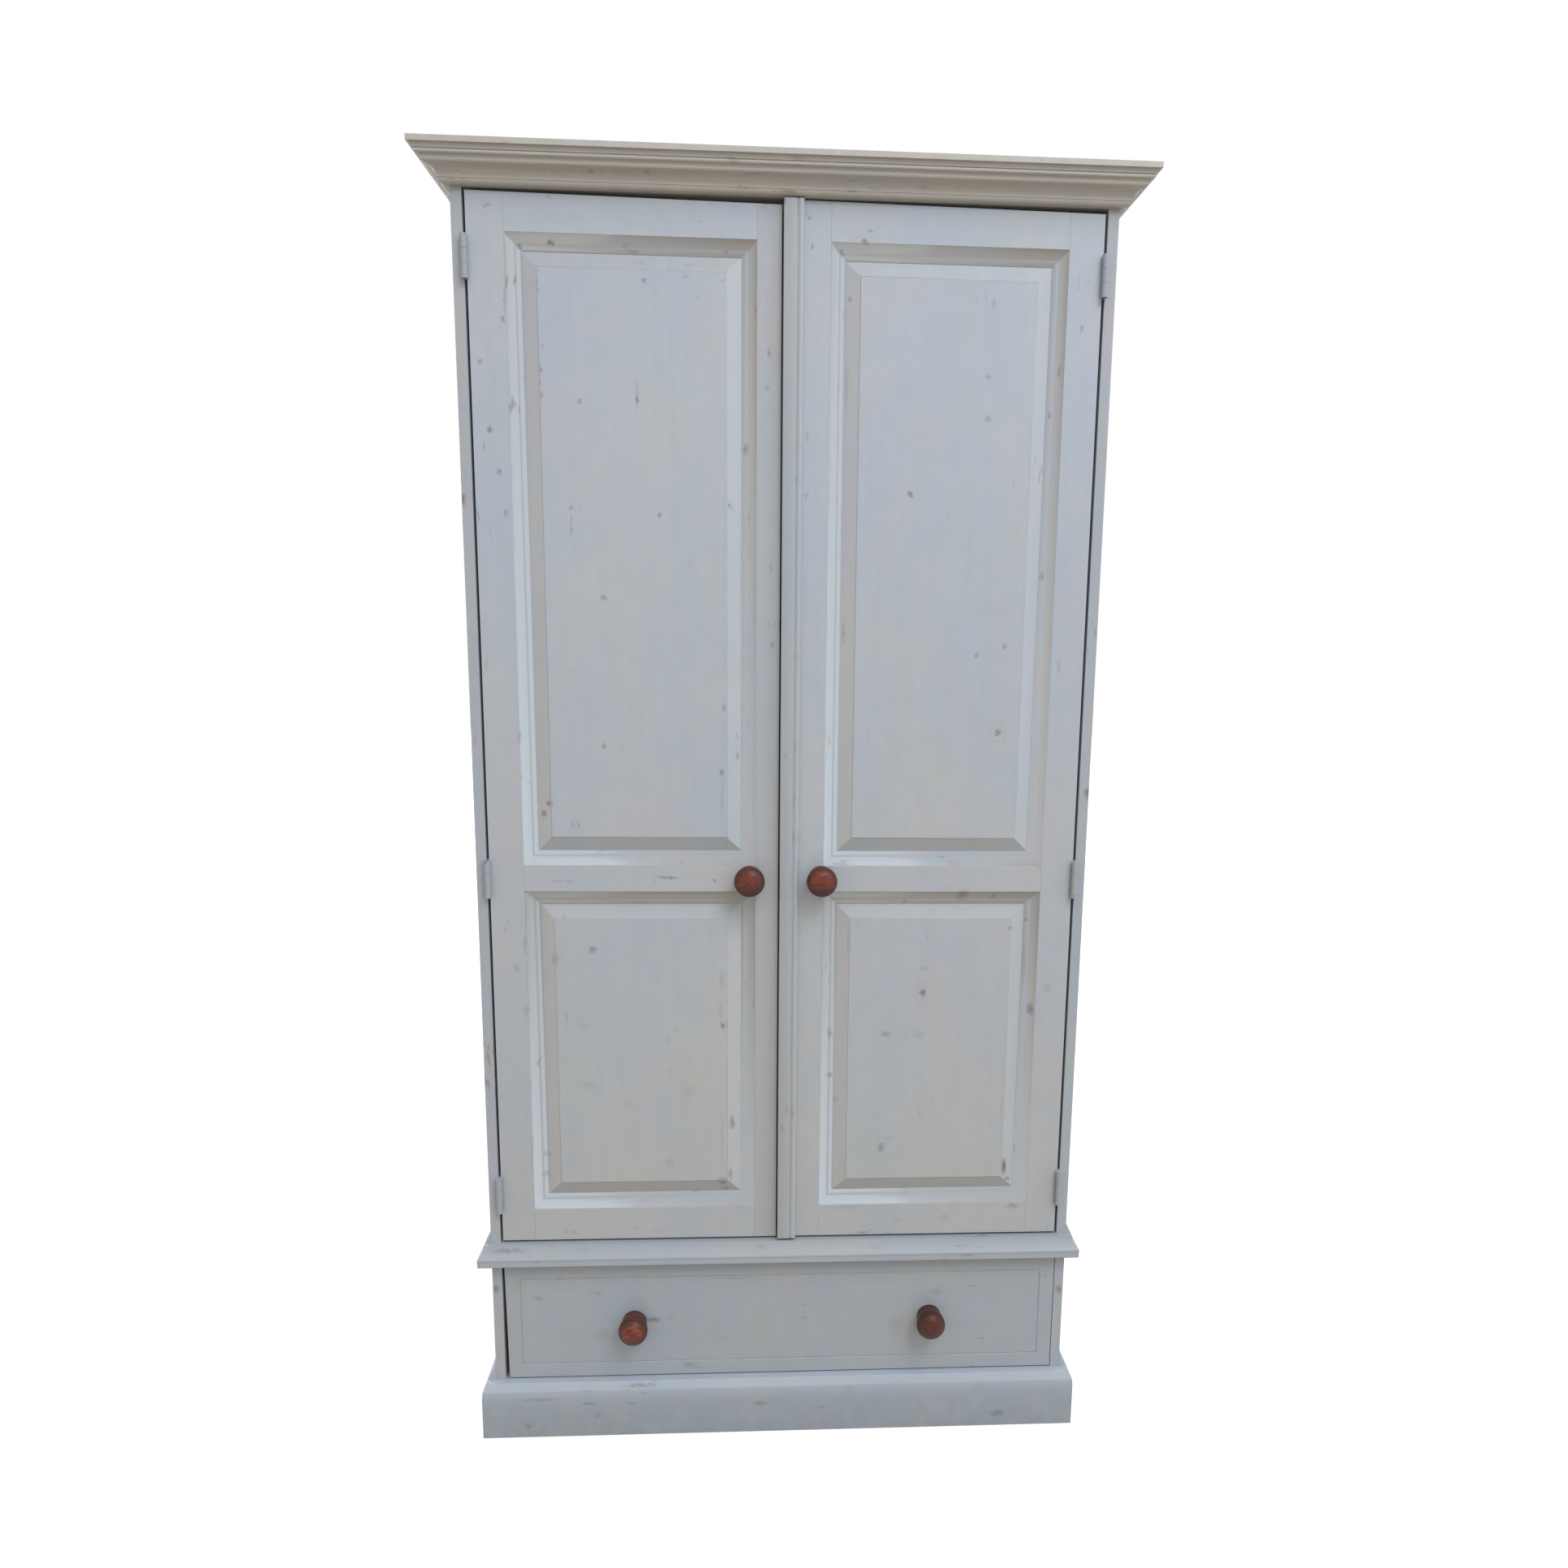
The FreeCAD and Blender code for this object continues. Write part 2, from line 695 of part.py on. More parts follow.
def panel_moulding(door, level):
    """The moulding round a panel, in four mitred lengths."""
    name = "%s_door_%s_moulding" % (door.side, level)
    low, high = door.sight
    foot, top = door.openings[level]
    section = [(S.moulding_width * across, S.moulding_depth * down, bend)
               for across, down, bend in PANEL_MOULDING_SHARES]
    section = [(ZERO, ZERO, 0)] + section
    section += [(S.moulding_width, S.moulding_depth, 0), (ZERO, S.moulding_depth, 0)]
    lengths = []

    def mitred(body, corners, along_first):
        for corner, inward in corners:
            waste = mitre_waste(corner, inward, S.moulding_width, along_first)
            pocket(body, outline(body, "XZ_Plane", waste, -(door_back + S.overrun)),
                   S.door_thickness + S.overrun * 2)
        lengths.append(body)

    for part, edge, sign in (("bottom", foot, 1), ("top", top, -1)):
        body = new_body("%s_%s" % (name, part))
        points = [(front + down, edge + inwards * sign, bend * sign)
                  for inwards, down, bend in section]
        pad(body, outline(body, "YZ_Plane", points, low), high - low)
        mitred(body, (((low, edge), (1, sign)), ((high, edge), (-1, sign))), True)
    for part, edge, sign in (("near", low, 1), ("far", high, -1)):
        body = new_body("%s_%s" % (name, part))
        points = [(edge + inwards * sign, front + down, -bend * sign)
                  for inwards, down, bend in section]
        pad(body, outline(body, "XY_Plane", points, foot), top - foot)
        mitred(body, (((edge, foot), (sign, 1)), ((edge, top), (sign, -1))), False)
    group(name, lengths)


def closing_strip():
    """The strip on the right door's meeting edge: a beaded face with a tongue behind it."""
    door = DOORS[1]
    body = keep("right_door_closing_strip", new_body("right_door_closing_strip"))
    left = -half_tongue
    right = left + S.strip_width
    face = front - S.strip_thickness
    quirk = right - S.strip_bead - S.strip_quirk
    bead_middle = right - S.strip_bead / 2
    points = ((left, door_back), (left, face + S.strip_quirk / 2, 0),
              (left + S.strip_quirk / 2, face), (quirk, face),
              (quirk + S.strip_quirk / 2, face + S.strip_quirk),
              (quirk + S.strip_quirk, face + S.strip_quirk, 1.24),
              (bead_middle, face, 0.71), (right, face + S.strip_bead / 2),
              (right, front), (half_tongue, front), (half_tongue, door_back))
    pad(body, outline(body, "XY_Plane", points, door.foot), door.tops[0] - door.foot)


def knob(name, place, height, depth):
    """A turned knob with a tenon as long as the board is thick."""
    body = keep(name, new_body(name))
    round_points = [(-S.knob_projection * out, S.knob_radius * across)
                    for out, across in KNOB_SHARES]
    points = [(depth, ZERO), (depth, S.knob_tenon_radius), (ZERO, S.knob_tenon_radius)]
    points += round_points
    points.append((-S.knob_projection, ZERO))
    sketch = outline(body, "YZ_Plane", points)
    turned = body.newObject("PartDesign::Revolution", name + "_turned")
    turned.Profile = sketch
    turned.ReferenceAxis = (sketch, ["H_Axis"])
    turned.Angle = 360
    put(body, (place, front, height))


def doors():
    for door in DOORS:
        stiles(door)
        rails(door)
        for level in door.openings:
            panel(door, level)
            panel_moulding(door, level)
        knob_height = door.openings["lower"][1] + S.knob_rise
        # the hole is in the lock rail, and in the stile too where it comes that near
        bored = ["lock_rail"]
        reach = (S.knob_tenon_radius + S.joint_play).amount
        if door.side == "left" and door.knob.amount + reach > door.sight[1].amount:
            bored.append("meeting_stile")
        if door.side == "right" and door.knob.amount - reach < door.sight[0].amount:
            bored.append("meeting_stile")
        for part in bored:
            knob_holes(pieces["%s_door_%s" % (door.side, part)], (door.knob,), knob_height)
        knob("%s_door_knob" % door.side, door.knob, knob_height, S.door_thickness)
    closing_strip()


def hinges(side, sign):
    """Three butt hinges: the leaf on the side board, the leaf on the door and the pin."""
    axis_x = (half_inner - S.hinge_gap / 2) * sign
    axis_y = front - S.knuckle_stand
    knuckles = 3
    knuckle = S.hinge_height / knuckles
    leaf_front = axis_y + S.knuckle_radius + S.knuckle_play
    fixed_edge = half_inner * sign - (S.leaf_thickness if sign > 0 else ZERO)
    moving_edge = hinge_line * sign - (ZERO if sign > 0 else S.leaf_thickness)
    door = DOORS[0]
    lock_rail_low = door.openings["lower"][1]
    made = {"fixed": [], "moving": []}
    pins = []
    for level, middle in (("top", lip - S.top_hinge_drop), ("middle", lock_rail_low + S.lock_rail / 2),
                          ("bottom", door.foot + S.bottom_hinge_rise)):
        low = middle - S.hinge_height / 2
        for kind, edge, first in (("fixed", fixed_edge, 0), ("moving", moving_edge, 1)):
            tag = "%s_%s_%s_leaf" % (side, level, kind)
            shapes = [block(tag + "_plate", (edge, leaf_front, low),
                            (S.leaf_thickness, S.leaf_width, S.hinge_height))]
            for number in range(first, knuckles, 2):
                start = low + knuckle * number + S.knuckle_play / 2
                length = knuckle - S.knuckle_play
                shapes.append(rod("%s_knuckle_%d" % (tag, number), (axis_x, axis_y, start),
                                  S.knuckle_radius, length))
                shapes.append(block("%s_wrap_%d" % (tag, number), (edge, axis_y, start),
                                    (S.leaf_thickness, leaf_front - axis_y, length)))
            bore = pin_hole(tag + "_bore", (axis_x, axis_y, low - S.overrun),
                            S.pin_radius + S.pin_play, S.hinge_height + S.overrun * 2)
            made[kind].append(cut(tag, fused(tag + "_solid", shapes), bore))
        pins.append(rod("%s_%s_pin" % (side, level), (axis_x, axis_y, low), S.pin_radius,
                        S.hinge_height))
    group("%s_hinge_side_leaves" % side, made["fixed"])
    group("%s_hinge_door_leaves" % side, made["moving"])
    group("%s_hinge_pins" % side, pins)


def drawer():
    """The drawer box: a lapped front, grooved sides, a back and a bottom board."""
    left = -half_inner + S.drawer_gap_left
    right = half_inner - S.drawer_gap_right
    foot = S.plinth_ledge + S.drawer_gap_bottom
    top = S.waist_bottom - S.drawer_gap_top
    box_back = back_face - S.drawer_back_clearance
    side_start = front + S.drawer_lap
    side_foot = S.plinth_ledge + S.runner_play
    bottom_low = foot + S.drawer_bottom_rise
    inner_left = left + S.drawer_side_thickness
    inner_right = right - S.drawer_side_thickness
    rebate_depth = S.drawer_front_thickness - S.drawer_lap
    front_back = front + S.drawer_front_thickness

    body = keep("drawer_front", new_body("drawer_front"))
    # the near end of the front is planed off towards the foot
    pad(body, outline(body, "XZ_Plane", (
        (left + S.drawer_front_slant, foot), (right, foot), (right, top), (left, top)),
        -front_back), S.drawer_front_thickness)
    for edge in (left - S.overrun, inner_right):
        cut_block(body, (edge, front + S.drawer_lap, foot - S.overrun),
                  (S.drawer_side_thickness + S.overrun, rebate_depth + S.overrun,
                   top - foot + S.overrun * 2))
    cut_block(body, (inner_left - S.drawer_groove, front_back - S.drawer_groove, bottom_low),
              (inner_right - inner_left + S.drawer_groove * 2, S.drawer_groove + S.overrun,
               S.drawer_bottom_thickness))
    # a fine line scratched round the face
    for low, spans in (
            ((left + S.line_inset, foot + S.line_inset), (right - left - S.line_inset * 2, S.line_width)),
            ((left + S.line_inset, top - S.line_inset - S.line_width),
             (right - left - S.line_inset * 2, S.line_width)),
            ((left + S.line_inset, foot + S.line_inset), (S.line_width, top - foot - S.line_inset * 2)),
            ((right - S.line_inset - S.line_width, foot + S.line_inset),
             (S.line_width, top - foot - S.line_inset * 2))):
        pocket(body, outline(body, "XZ_Plane", rectangle(low, spans), -(front + S.line_depth)),
               S.line_depth + S.overrun)
    knobs = (("left", -S.left_drawer_knob), ("right", S.right_drawer_knob))
    knob_holes(body, [place for _, place in knobs], S.drawer_knob_height)
    for side, place in knobs:
        knob("drawer_knob_" + side, place, S.drawer_knob_height, S.drawer_front_thickness)

    for side, edge, groove in (
            ("left", left, inner_left - S.drawer_groove),
            ("right", inner_right, inner_right - S.overrun)):
        name = "drawer_side_" + side
        body = keep(name, new_body(name))
        add_block(body, (edge, side_start, side_foot),
                  (S.drawer_side_thickness, box_back - side_start, top - side_foot))
        cut_block(body, (groove, front, bottom_low),
                  (S.drawer_groove + S.overrun, S.body_depth, S.drawer_bottom_thickness))
    keep("drawer_back", block(
        "drawer_back", (inner_left, box_back - S.drawer_side_thickness,
                        bottom_low + S.drawer_bottom_thickness),
        (inner_right - inner_left, S.drawer_side_thickness,
         top - S.drawer_side_drop - bottom_low - S.drawer_bottom_thickness)))
    play = S.joint_play
    keep("drawer_bottom", block(
        "drawer_bottom", (inner_left - S.drawer_groove + play, front_back - S.drawer_groove + play,
                          bottom_low + play),
        (inner_right - inner_left + S.drawer_groove * 2 - play * 2,
         box_back - front_back + S.drawer_groove - play * 2,
         S.drawer_bottom_thickness - play * 2)))


def hanging_rail():
    """The round rail for hangers and the open sockets that it drops into."""
    along_x = FreeCAD.Rotation(FreeCAD.Vector(0, 1, 0), 90)
    middle_y = (door_back + back_face) / 2
    height = under_top - S.hanging_rail_drop
    reach = half_inner - S.socket_play
    keep("hanging_rail", rod("hanging_rail", (-reach, middle_y, height), S.hanging_rail_radius,
                             reach * 2, along_x))
    slot = S.hanging_rail_radius + S.socket_play
    sockets = []
    for side, start in (("left", -half_inner), ("right", half_inner - S.socket_thickness)):
        disc = rod("socket_disc_" + side, (start, middle_y, height), S.socket_radius,
                   S.socket_thickness, along_x)
        seat = rod("socket_seat_" + side, (start - S.overrun, middle_y, height), slot,
                   S.socket_thickness + S.overrun * 2, along_x)
        mouth = block("socket_mouth_" + side, (start - S.overrun, middle_y - slot, height),
                      (S.socket_thickness + S.overrun * 2, slot * 2, S.socket_radius + S.overrun))
        sockets.append(cut("socket_" + side, disc, fused("socket_opening_" + side, [seat, mouth])))
    group("rail_sockets", sockets)


def check():
    """Stop if any feature failed, any cut missed or any sub-part has no sound shape."""
    for feature in doc.Objects:
        if "Invalid" in feature.State or "Error" in feature.State:
            raise RuntimeError("%s failed: %s" % (feature.Name, feature.State))
        if feature.TypeId == "PartDesign::Pocket":
            before = feature.BaseFeature.Shape.Volume
            if feature.Shape.Volume > before * (1 - 1e-9):
                raise RuntimeError("%s cuts nothing" % feature.Name)
    for name, feature in pieces.items():
        if feature.Shape.isNull() or not feature.Shape.isValid():
            raise RuntimeError("%s has no sound shape" % name)


carcass_boards()
back_boards()
drawer_supports()
mouldings()
doors()
hinges("left", -1)
hinges("right", 1)
drawer()
hanging_rail()
doc.recompute()
check()

os.makedirs("parts", exist_ok=True)
for name, feature in pieces.items():
    feature.Shape.exportStep("parts/%s.step" % name)
print(len(pieces), "sub-parts written")
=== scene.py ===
"""The looks of the painted pine wardrobe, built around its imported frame."""
import math
import random

import bmesh
import bpy
from mathutils import Matrix, Vector


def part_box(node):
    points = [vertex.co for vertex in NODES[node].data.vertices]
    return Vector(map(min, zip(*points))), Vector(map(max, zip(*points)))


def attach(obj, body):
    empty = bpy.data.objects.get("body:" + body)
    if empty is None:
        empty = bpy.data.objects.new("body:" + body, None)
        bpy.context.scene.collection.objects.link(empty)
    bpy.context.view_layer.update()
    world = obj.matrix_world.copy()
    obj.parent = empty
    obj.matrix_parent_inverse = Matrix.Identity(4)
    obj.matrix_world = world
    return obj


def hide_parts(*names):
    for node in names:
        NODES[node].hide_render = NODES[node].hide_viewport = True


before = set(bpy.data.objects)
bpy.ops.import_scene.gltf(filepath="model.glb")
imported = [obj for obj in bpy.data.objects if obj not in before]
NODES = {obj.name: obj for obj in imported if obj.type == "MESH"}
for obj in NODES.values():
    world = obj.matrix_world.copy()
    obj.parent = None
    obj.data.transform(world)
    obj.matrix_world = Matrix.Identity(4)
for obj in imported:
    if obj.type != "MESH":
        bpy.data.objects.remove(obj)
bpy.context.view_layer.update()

MILLIMETRE = 0.001
SIDES = ("left", "right")


# Colours, as they are seen, in eight-bit steps

def seen(red, green, blue):
    """The linear colour of three eight-bit steps."""
    def linear(step):
        share = step / 255
        return share / 12.92 if share <= 0.04045 else ((share + 0.055) / 1.055) ** 2.4
    return (linear(red), linear(green), linear(blue), 1.0)


PAINT = {
    # slot: main colour, bluish patches, pinkish patches, greenish patches
    # the slots are copies of one paint: the drawer's is darker, partly its own tone and partly painted shade
    # low down, and the cornice's is paler, painted light against the shade on its faces that turn down
    "door_paint": (seen(173, 181, 192), seen(167, 179, 196), seen(178, 178, 187), seen(171, 181, 185)),
    "drawer_paint": (seen(161, 167, 174), seen(156, 166, 178), seen(166, 165, 170), seen(161, 169, 169)),
    "carcass_paint": (seen(164, 171, 179), seen(157, 167, 181), seen(170, 168, 173), seen(163, 171, 170)),
    "moulding_paint": (seen(169, 177, 187), seen(164, 176, 191), seen(174, 174, 181), seen(168, 176, 178)),
    "plinth_paint": (seen(168, 177, 187), seen(163, 175, 190), seen(173, 174, 181), seen(167, 176, 178)),
    "cornice_paint": (seen(192, 192, 192), seen(187, 190, 194), seen(196, 191, 190), seen(188, 191, 185)),
    "painted_steel": (seen(154, 160, 168), seen(148, 158, 171), seen(158, 157, 162), seen(153, 160, 159)),
}
WORN = seen(132, 120, 113)
BARE = seen(100, 84, 76)
PIT = seen(84, 82, 85)
# smears, and one painted shadow of a knob
SMEAR_AND_SHADOW = seen(136, 141, 146)
STAIN = seen(158, 156, 136)
GRIME = seen(132, 131, 122)
# painted shade, brownish: it darkens faces that look down, the run over a panel and parts of the cornice
PAINTED_SHADE = seen(134, 124, 110)
# dust on bare pine; on paint, dust and painted shade that dims faces that look up
DUST_AND_SHADE = seen(146, 147, 146)
# the dark beside the meeting line: on the left meeting stile it is painted shadow of the closing strip
MEETING_DARK = seen(128, 122, 112)
# the plinth's darker tone towards its foot
PLINTH_FOOT_TONE = seen(108, 116, 124)
# painted light for faces that look to the right, and painted shade, warmer, for those to the left
RIGHT_LIGHT_TINT = seen(192, 203, 213)
LEFT_SHADE_TINT = seen(192, 182, 173)
NAIL = seen(74, 62, 55)
# towards the foot the paint turns warmer and a little darker
FOOT_TINT = (1.0, 0.93, 0.84, 1.0)
PINE_EARLY = seen(206, 178, 138)
PINE_LATE = seen(166, 126, 84)
PINE_KNOT = seen(96, 58, 34)
KNOB_MAIN = seen(102, 46, 37)
KNOB_DARK = seen(62, 26, 21)
KNOB_LIGHT = seen(146, 78, 46)
# dirt in a knob's groove and on its centre mark, and painted shade on its shoulder, behind its head and
# underneath
KNOB_GRIME_AND_SHADE = seen(64, 39, 33)
STEEL = seen(120, 118, 114)


# Knocks and spots on the fronts, and a painted shadow among the smears, in millimetres: across, up, width,
# height, strength

MARKS = {
    "pit": (
        (-429, 1932, 11, 3, 0.55), (-343, 1945, 7, 3, 0.50), (-343, 1887, 9, 6, 0.80),
        (-93, 1882, 6, 4, 0.50), (-387, 1881, 7, 6, 0.60), (-210, 1839, 6, 5, 0.60),
        (-408, 1812, 3, 44, 0.40), (-412, 1781, 5, 7, 0.50), (-361, 1849, 3, 4, 0.50),
        (-362, 1835, 3, 4, 0.50), (-361, 1821, 3, 4, 0.50), (-446, 1722, 6, 8, 0.50),
        (-436, 1627, 6, 9, 0.80), (-424, 1568, 6, 6, 0.50), (-222, 1674, 5, 9, 0.80),
        (-305, 1670, 5, 7, 0.50), (-192, 1511, 6, 6, 0.50), (-322, 1520, 5, 7, 0.40),
        (-86, 1527, 5, 7, 0.50), (-29, 1744, 5, 9, 0.50), (-32, 1696, 5, 7, 0.40),
        (-276, 1389, 7, 8, 0.55), (-280, 1165, 6, 8, 0.50), (-96, 1225, 5, 10, 0.50),
        (-99, 1126, 6, 10, 0.70), (-75, 1151, 5, 10, 0.50), (-22, 1322, 4, 10, 0.50),
        (-185, 959, 32, 4, 0.60), (-112, 955, 6, 7, 0.50), (28, 1930, 7, 4, 0.50), (117, 1914, 6, 4, 0.50),
        (75, 1886, 7, 7, 0.60), (88, 1823, 5, 7, 0.50), (184, 1548, 7, 8, 0.80), (432, 1789, 6, 8, 0.50),
        (27, 1544, 6, 7, 0.40), (392, 1669, 5, 9, 0.50), (391, 1432, 5, 10, 0.50), (336, 1324, 6, 6, 0.50),
        (293, 1310, 6, 6, 0.50), (335, 930, 7, 7, 0.50), (192, 918, 7, 7, 0.50), (462, 942, 7, 7, 0.50),
        (364, 875, 7, 7, 0.50), (391, 888, 7, 7, 0.50), (-304, 842, 9, 10, 0.55), (-99, 714, 7, 10, 0.70),
        (-84, 548, 7, 20, 0.70), (-100, 445, 13, 12, 0.60), (-87, 457, 7, 17, 0.50),
        (-95, 429, 11, 9, 0.40), (-386, 494, 10, 11, 0.40), (-388, 460, 10, 9, 0.45),
        (165, 698, 12, 8, 0.50), (162, 501, 11, 13, 0.55), (370, 464, 8, 22, 1.00),
        (376, 440, 11, 6, 0.60), (403, 738, 8, 17, 0.70), (74, 699, 7, 17, 0.50), (75, 627, 9, 8, 0.55),
        (-216, 199, 22, 7, 0.70), (-425, 20, 9, 8, 0.50), (-236, 89, 47, 5, 0.50), (-405, 69, 54, 5, 0.35),
        (-451, 335, 46, 6, 0.45), (370, 23, 23, 11, 0.50), (-406, 242, 16, 7, 0.40),
        (-156, 114, 19, 8, 0.40),
    ),
    "knot": (
        (108, 1900, 9, 7, 0.70), (296, 1719, 9, 8, 0.35), (298, 1660, 9, 8, 0.40),
        (331, 1191, 9, 10, 0.70), (284, 931, 18, 17, 0.60), (225, 768, 9, 12, 0.80),
    ),
    "chip": (
        (-361, 1713, 3, 11, 0.60), (-362, 1697, 3, 9, 0.60), (-361, 1677, 4, 11, 0.60),
        (-63, 1610, 7, 14, 0.60), (-478, 1529, 8, 16, 0.90), (-375, 1060, 9, 9, 0.80),
        (-365, 1076, 9, 9, 0.80), (478, 1097, 9, 16, 0.90), (-424, 813, 8, 11, 0.35),
        (-363, 827, 8, 16, 0.50), (385, 396, 17, 7, 0.50), (103, 855, 5, 40, 0.40),
        (-475, 261, 7, 13, 0.80), (-80, 273, 68, 3, 0.35), (-36, 53, 19, 9, 0.50),
        (-310, 38, 11, 12, 0.25), (473, 241, 10, 11, 0.85), (-66, 1962, 24, 4, 0.40),
        (-281, 1973, 11, 3, 0.40), (-201, 1974, 10, 3, 0.35), (121, 1966, 16, 3, 0.30),
    ),
    "smear_and_shadow": (
        (-130, 1920, 6, 4, 0.50), (-214, 1864, 16, 5, 0.40), (-144, 1863, 16, 5, 0.40),
        (-150, 1846, 6, 4, 0.50), (-97, 1842, 6, 4, 0.50), (-132, 1819, 6, 4, 0.40),
        (-222, 1683, 5, 38, 0.40), (-99, 1084, 3, 77, 0.40), (-407, 1179, 5, 20, 0.50),
        (86, 1702, 4, 57, 0.40), (87, 1344, 4, 32, 0.45), (-409, 852, 5, 26, 0.50),
        (-410, 743, 8, 19, 0.50), (-322, 715, 18, 4, 0.40), (-175, 708, 8, 8, 0.25),
        (-185, 690, 10, 11, 0.25), (-102, 741, 4, 34, 0.40), (-100, 791, 8, 27, 0.35),
        (-156, 602, 18, 17, 0.30), (-185, 639, 7, 17, 0.20), (-251, 584, 8, 14, 0.20),
        (-186, 480, 16, 11, 0.35), (-315, 615, 16, 11, 0.30), (-100, 519, 3, 71, 0.45),
        (-358, 362, 8, 7, 0.40), (-345, 362, 8, 7, 0.40), (-363, 682, 5, 11, 0.35),
        (-408, 502, 4, 56, 0.30), (225, 810, 13, 7, 0.45), (220, 698, 16, 12, 0.35),
        (176, 517, 11, 11, 0.25), (390, 817, 7, 61, 0.40), (428, 777, 8, 14, 0.40), (86, 584, 8, 11, 0.45),
        (361, 570, 4, 20, 0.40), (109, 398, 41, 6, 0.30), (190, 373, 16, 9, 0.30),
        # (-298, 171) is painted shadow: the shade the left drawer knob casts below and to its left
        (271, 376, 17, 15, 0.30), (-298, 171, 34, 21, 0.30), (-186, 204, 14, 12, 0.30),
        (-37, 336, 24, 7, 0.45), (-326, 334, 26, 6, 0.30), (154, 332, 19, 6, 0.35),
        (264, 241, 19, 12, 0.45), (194, 177, 22, 33, 0.30), (203, 85, 28, 6, 0.30),
        (339, 75, 14, 22, 0.30), (117, 73, 14, 15, 0.30),
    ),
    "stain": (
        (170, 283, 80, 5, 0.40), (312, 281, 52, 5, 0.40), (103, 272, 80, 4, 0.35), (-437, 262, 18, 44, 0.25),
        (150, 262, 150, 4, 0.25), (-250, 278, 60, 4, 0.25),
        (-270, 1973, 260, 5, 0.45), (200, 1972, 300, 4, 0.25),
    ),
}


# Materials, as graphs of nodes

class Shade:
    """A material under construction: each method adds a node and returns its output."""

    def __init__(self, name):
        self.material = bpy.data.materials.new(name)
        self.material.use_nodes = True
        self.tree = self.material.node_tree
        self.tree.nodes.clear()
        self.surface = self.tree.nodes.new("ShaderNodeBsdfPrincipled")
        output = self.tree.nodes.new("ShaderNodeOutputMaterial")
        self.tree.links.new(self.surface.outputs["BSDF"], output.inputs["Surface"])
        places = self.tree.nodes.new("ShaderNodeTexCoord").outputs
        self.place = places["Object"]
        self.x, self.y, self.z = self.parts_of(self.place)
        self.sideways, _, self.upward = self.parts_of(places["Normal"])

    def parts_of(self, vector):
        parts = self.tree.nodes.new("ShaderNodeSeparateXYZ")
        self.tree.links.new(vector, parts.inputs[0])
        return parts.outputs

    def channels(self, colour):
        return self.node("ShaderNodeSeparateColor", {0: colour}).outputs

    def feed(self, socket, value):
        if isinstance(value, bpy.types.NodeSocket):
            self.tree.links.new(value, socket)
        else:
            socket.default_value = value

    def node(self, kind, values=(), **settings):
        made = self.tree.nodes.new(kind)
        for name, setting in settings.items():
            setattr(made, name, setting)
        for key, value in dict(values).items():
            self.feed(made.inputs[key], value)
        return made

    def maths(self, operation, *values):
        return self.node("ShaderNodeMath", enumerate(values), operation=operation).outputs[0]

    def plus(self, first, second):
        return self.maths("ADD", first, second)

    def minus(self, first, second):
        return self.maths("SUBTRACT", first, second)

    def times(self, first, second):
        return self.maths("MULTIPLY", first, second)

    def most(self, first, second):
        return self.maths("MAXIMUM", first, second)

    def hypotenuse(self, first, second):
        return self.maths("SQRT", self.plus(self.times(first, first), self.times(second, second)))

    def join(self, x, y, z):
        return self.node("ShaderNodeCombineXYZ", {0: x, 1: y, 2: z}).outputs[0]

    def stretched(self, scales, shift=(0, 0, 0)):
        values = {"Vector": self.place, "Scale": scales, "Location": shift}
        return self.node("ShaderNodeMapping", values).outputs[0]

    def noise(self, place, scale=1.0, detail=3.0, roughness=0.5, distortion=0.0):
        values = {"Vector": place, "Scale": scale, "Detail": detail, "Roughness": roughness,
                  "Distortion": distortion}
        return self.node("ShaderNodeTexNoise", values).outputs["Fac"]

    def spread(self, value, low, high, first=0.0, last=1.0):
        """The value from low to high, as a share from first to last, and no further."""
        values = {0: value, 1: low, 2: high, 3: first, 4: last}
        return self.node("ShaderNodeMapRange", values, clamp=True).outputs[0]

    def mix(self, share, first, second, blend="MIX"):
        made = self.node("ShaderNodeMix", data_type="RGBA", blend_type=blend)
        self.feed(made.inputs["Factor"], share)
        colours = [s for s in made.inputs if s.type == "RGBA"]
        self.feed(colours[0], first)
        self.feed(colours[1], second)
        return [s for s in made.outputs if s.type == "RGBA"][0]

    def bump(self, height, distance, strength=1.0, below=None):
        values = {"Height": height, "Distance": distance, "Strength": strength}
        if below is not None:
            values["Normal"] = below
        return self.node("ShaderNodeBump", values).outputs[0]

    def finish(self, colour, roughness, normal=None):
        self.feed(self.surface.inputs["Base Color"], colour)
        self.feed(self.surface.inputs["Roughness"], roughness)
        if normal is not None:
            self.feed(self.surface.inputs["Normal"], normal)
        return self.material


GRAIN = {"X": (1, 0, 0), "Y": (0, 1, 0), "Z": (0, 0, 1)}


def along_grain(shade, axis, across, along, shift=(0, 0, 0)):
    """Object places, stretched so that a pattern runs along the grain."""
    return shade.stretched([along if here else across for here in GRAIN[axis]], shift)


def level_run(shade, rectangle):
    """A mask of the two level runs of a mitred frame."""
    middle_x, middle_z, half_x, half_z = rectangle
    in_x = shade.minus(half_x, shade.maths("ABSOLUTE", shade.minus(shade.x, middle_x)))
    in_z = shade.minus(half_z, shade.maths("ABSOLUTE", shade.minus(shade.z, middle_z)))
    return shade.maths("LESS_THAN", in_z, in_x)


def by_run(shade, run, make):
    """A pattern that follows the grain; in a mitred frame it follows each of the four runs."""
    if isinstance(run, str):
        return make(run)
    level = level_run(shade, run)
    upright = shade.minus(1.0, level)
    return shade.plus(shade.times(make("Z"), upright), shade.times(make("X"), level))


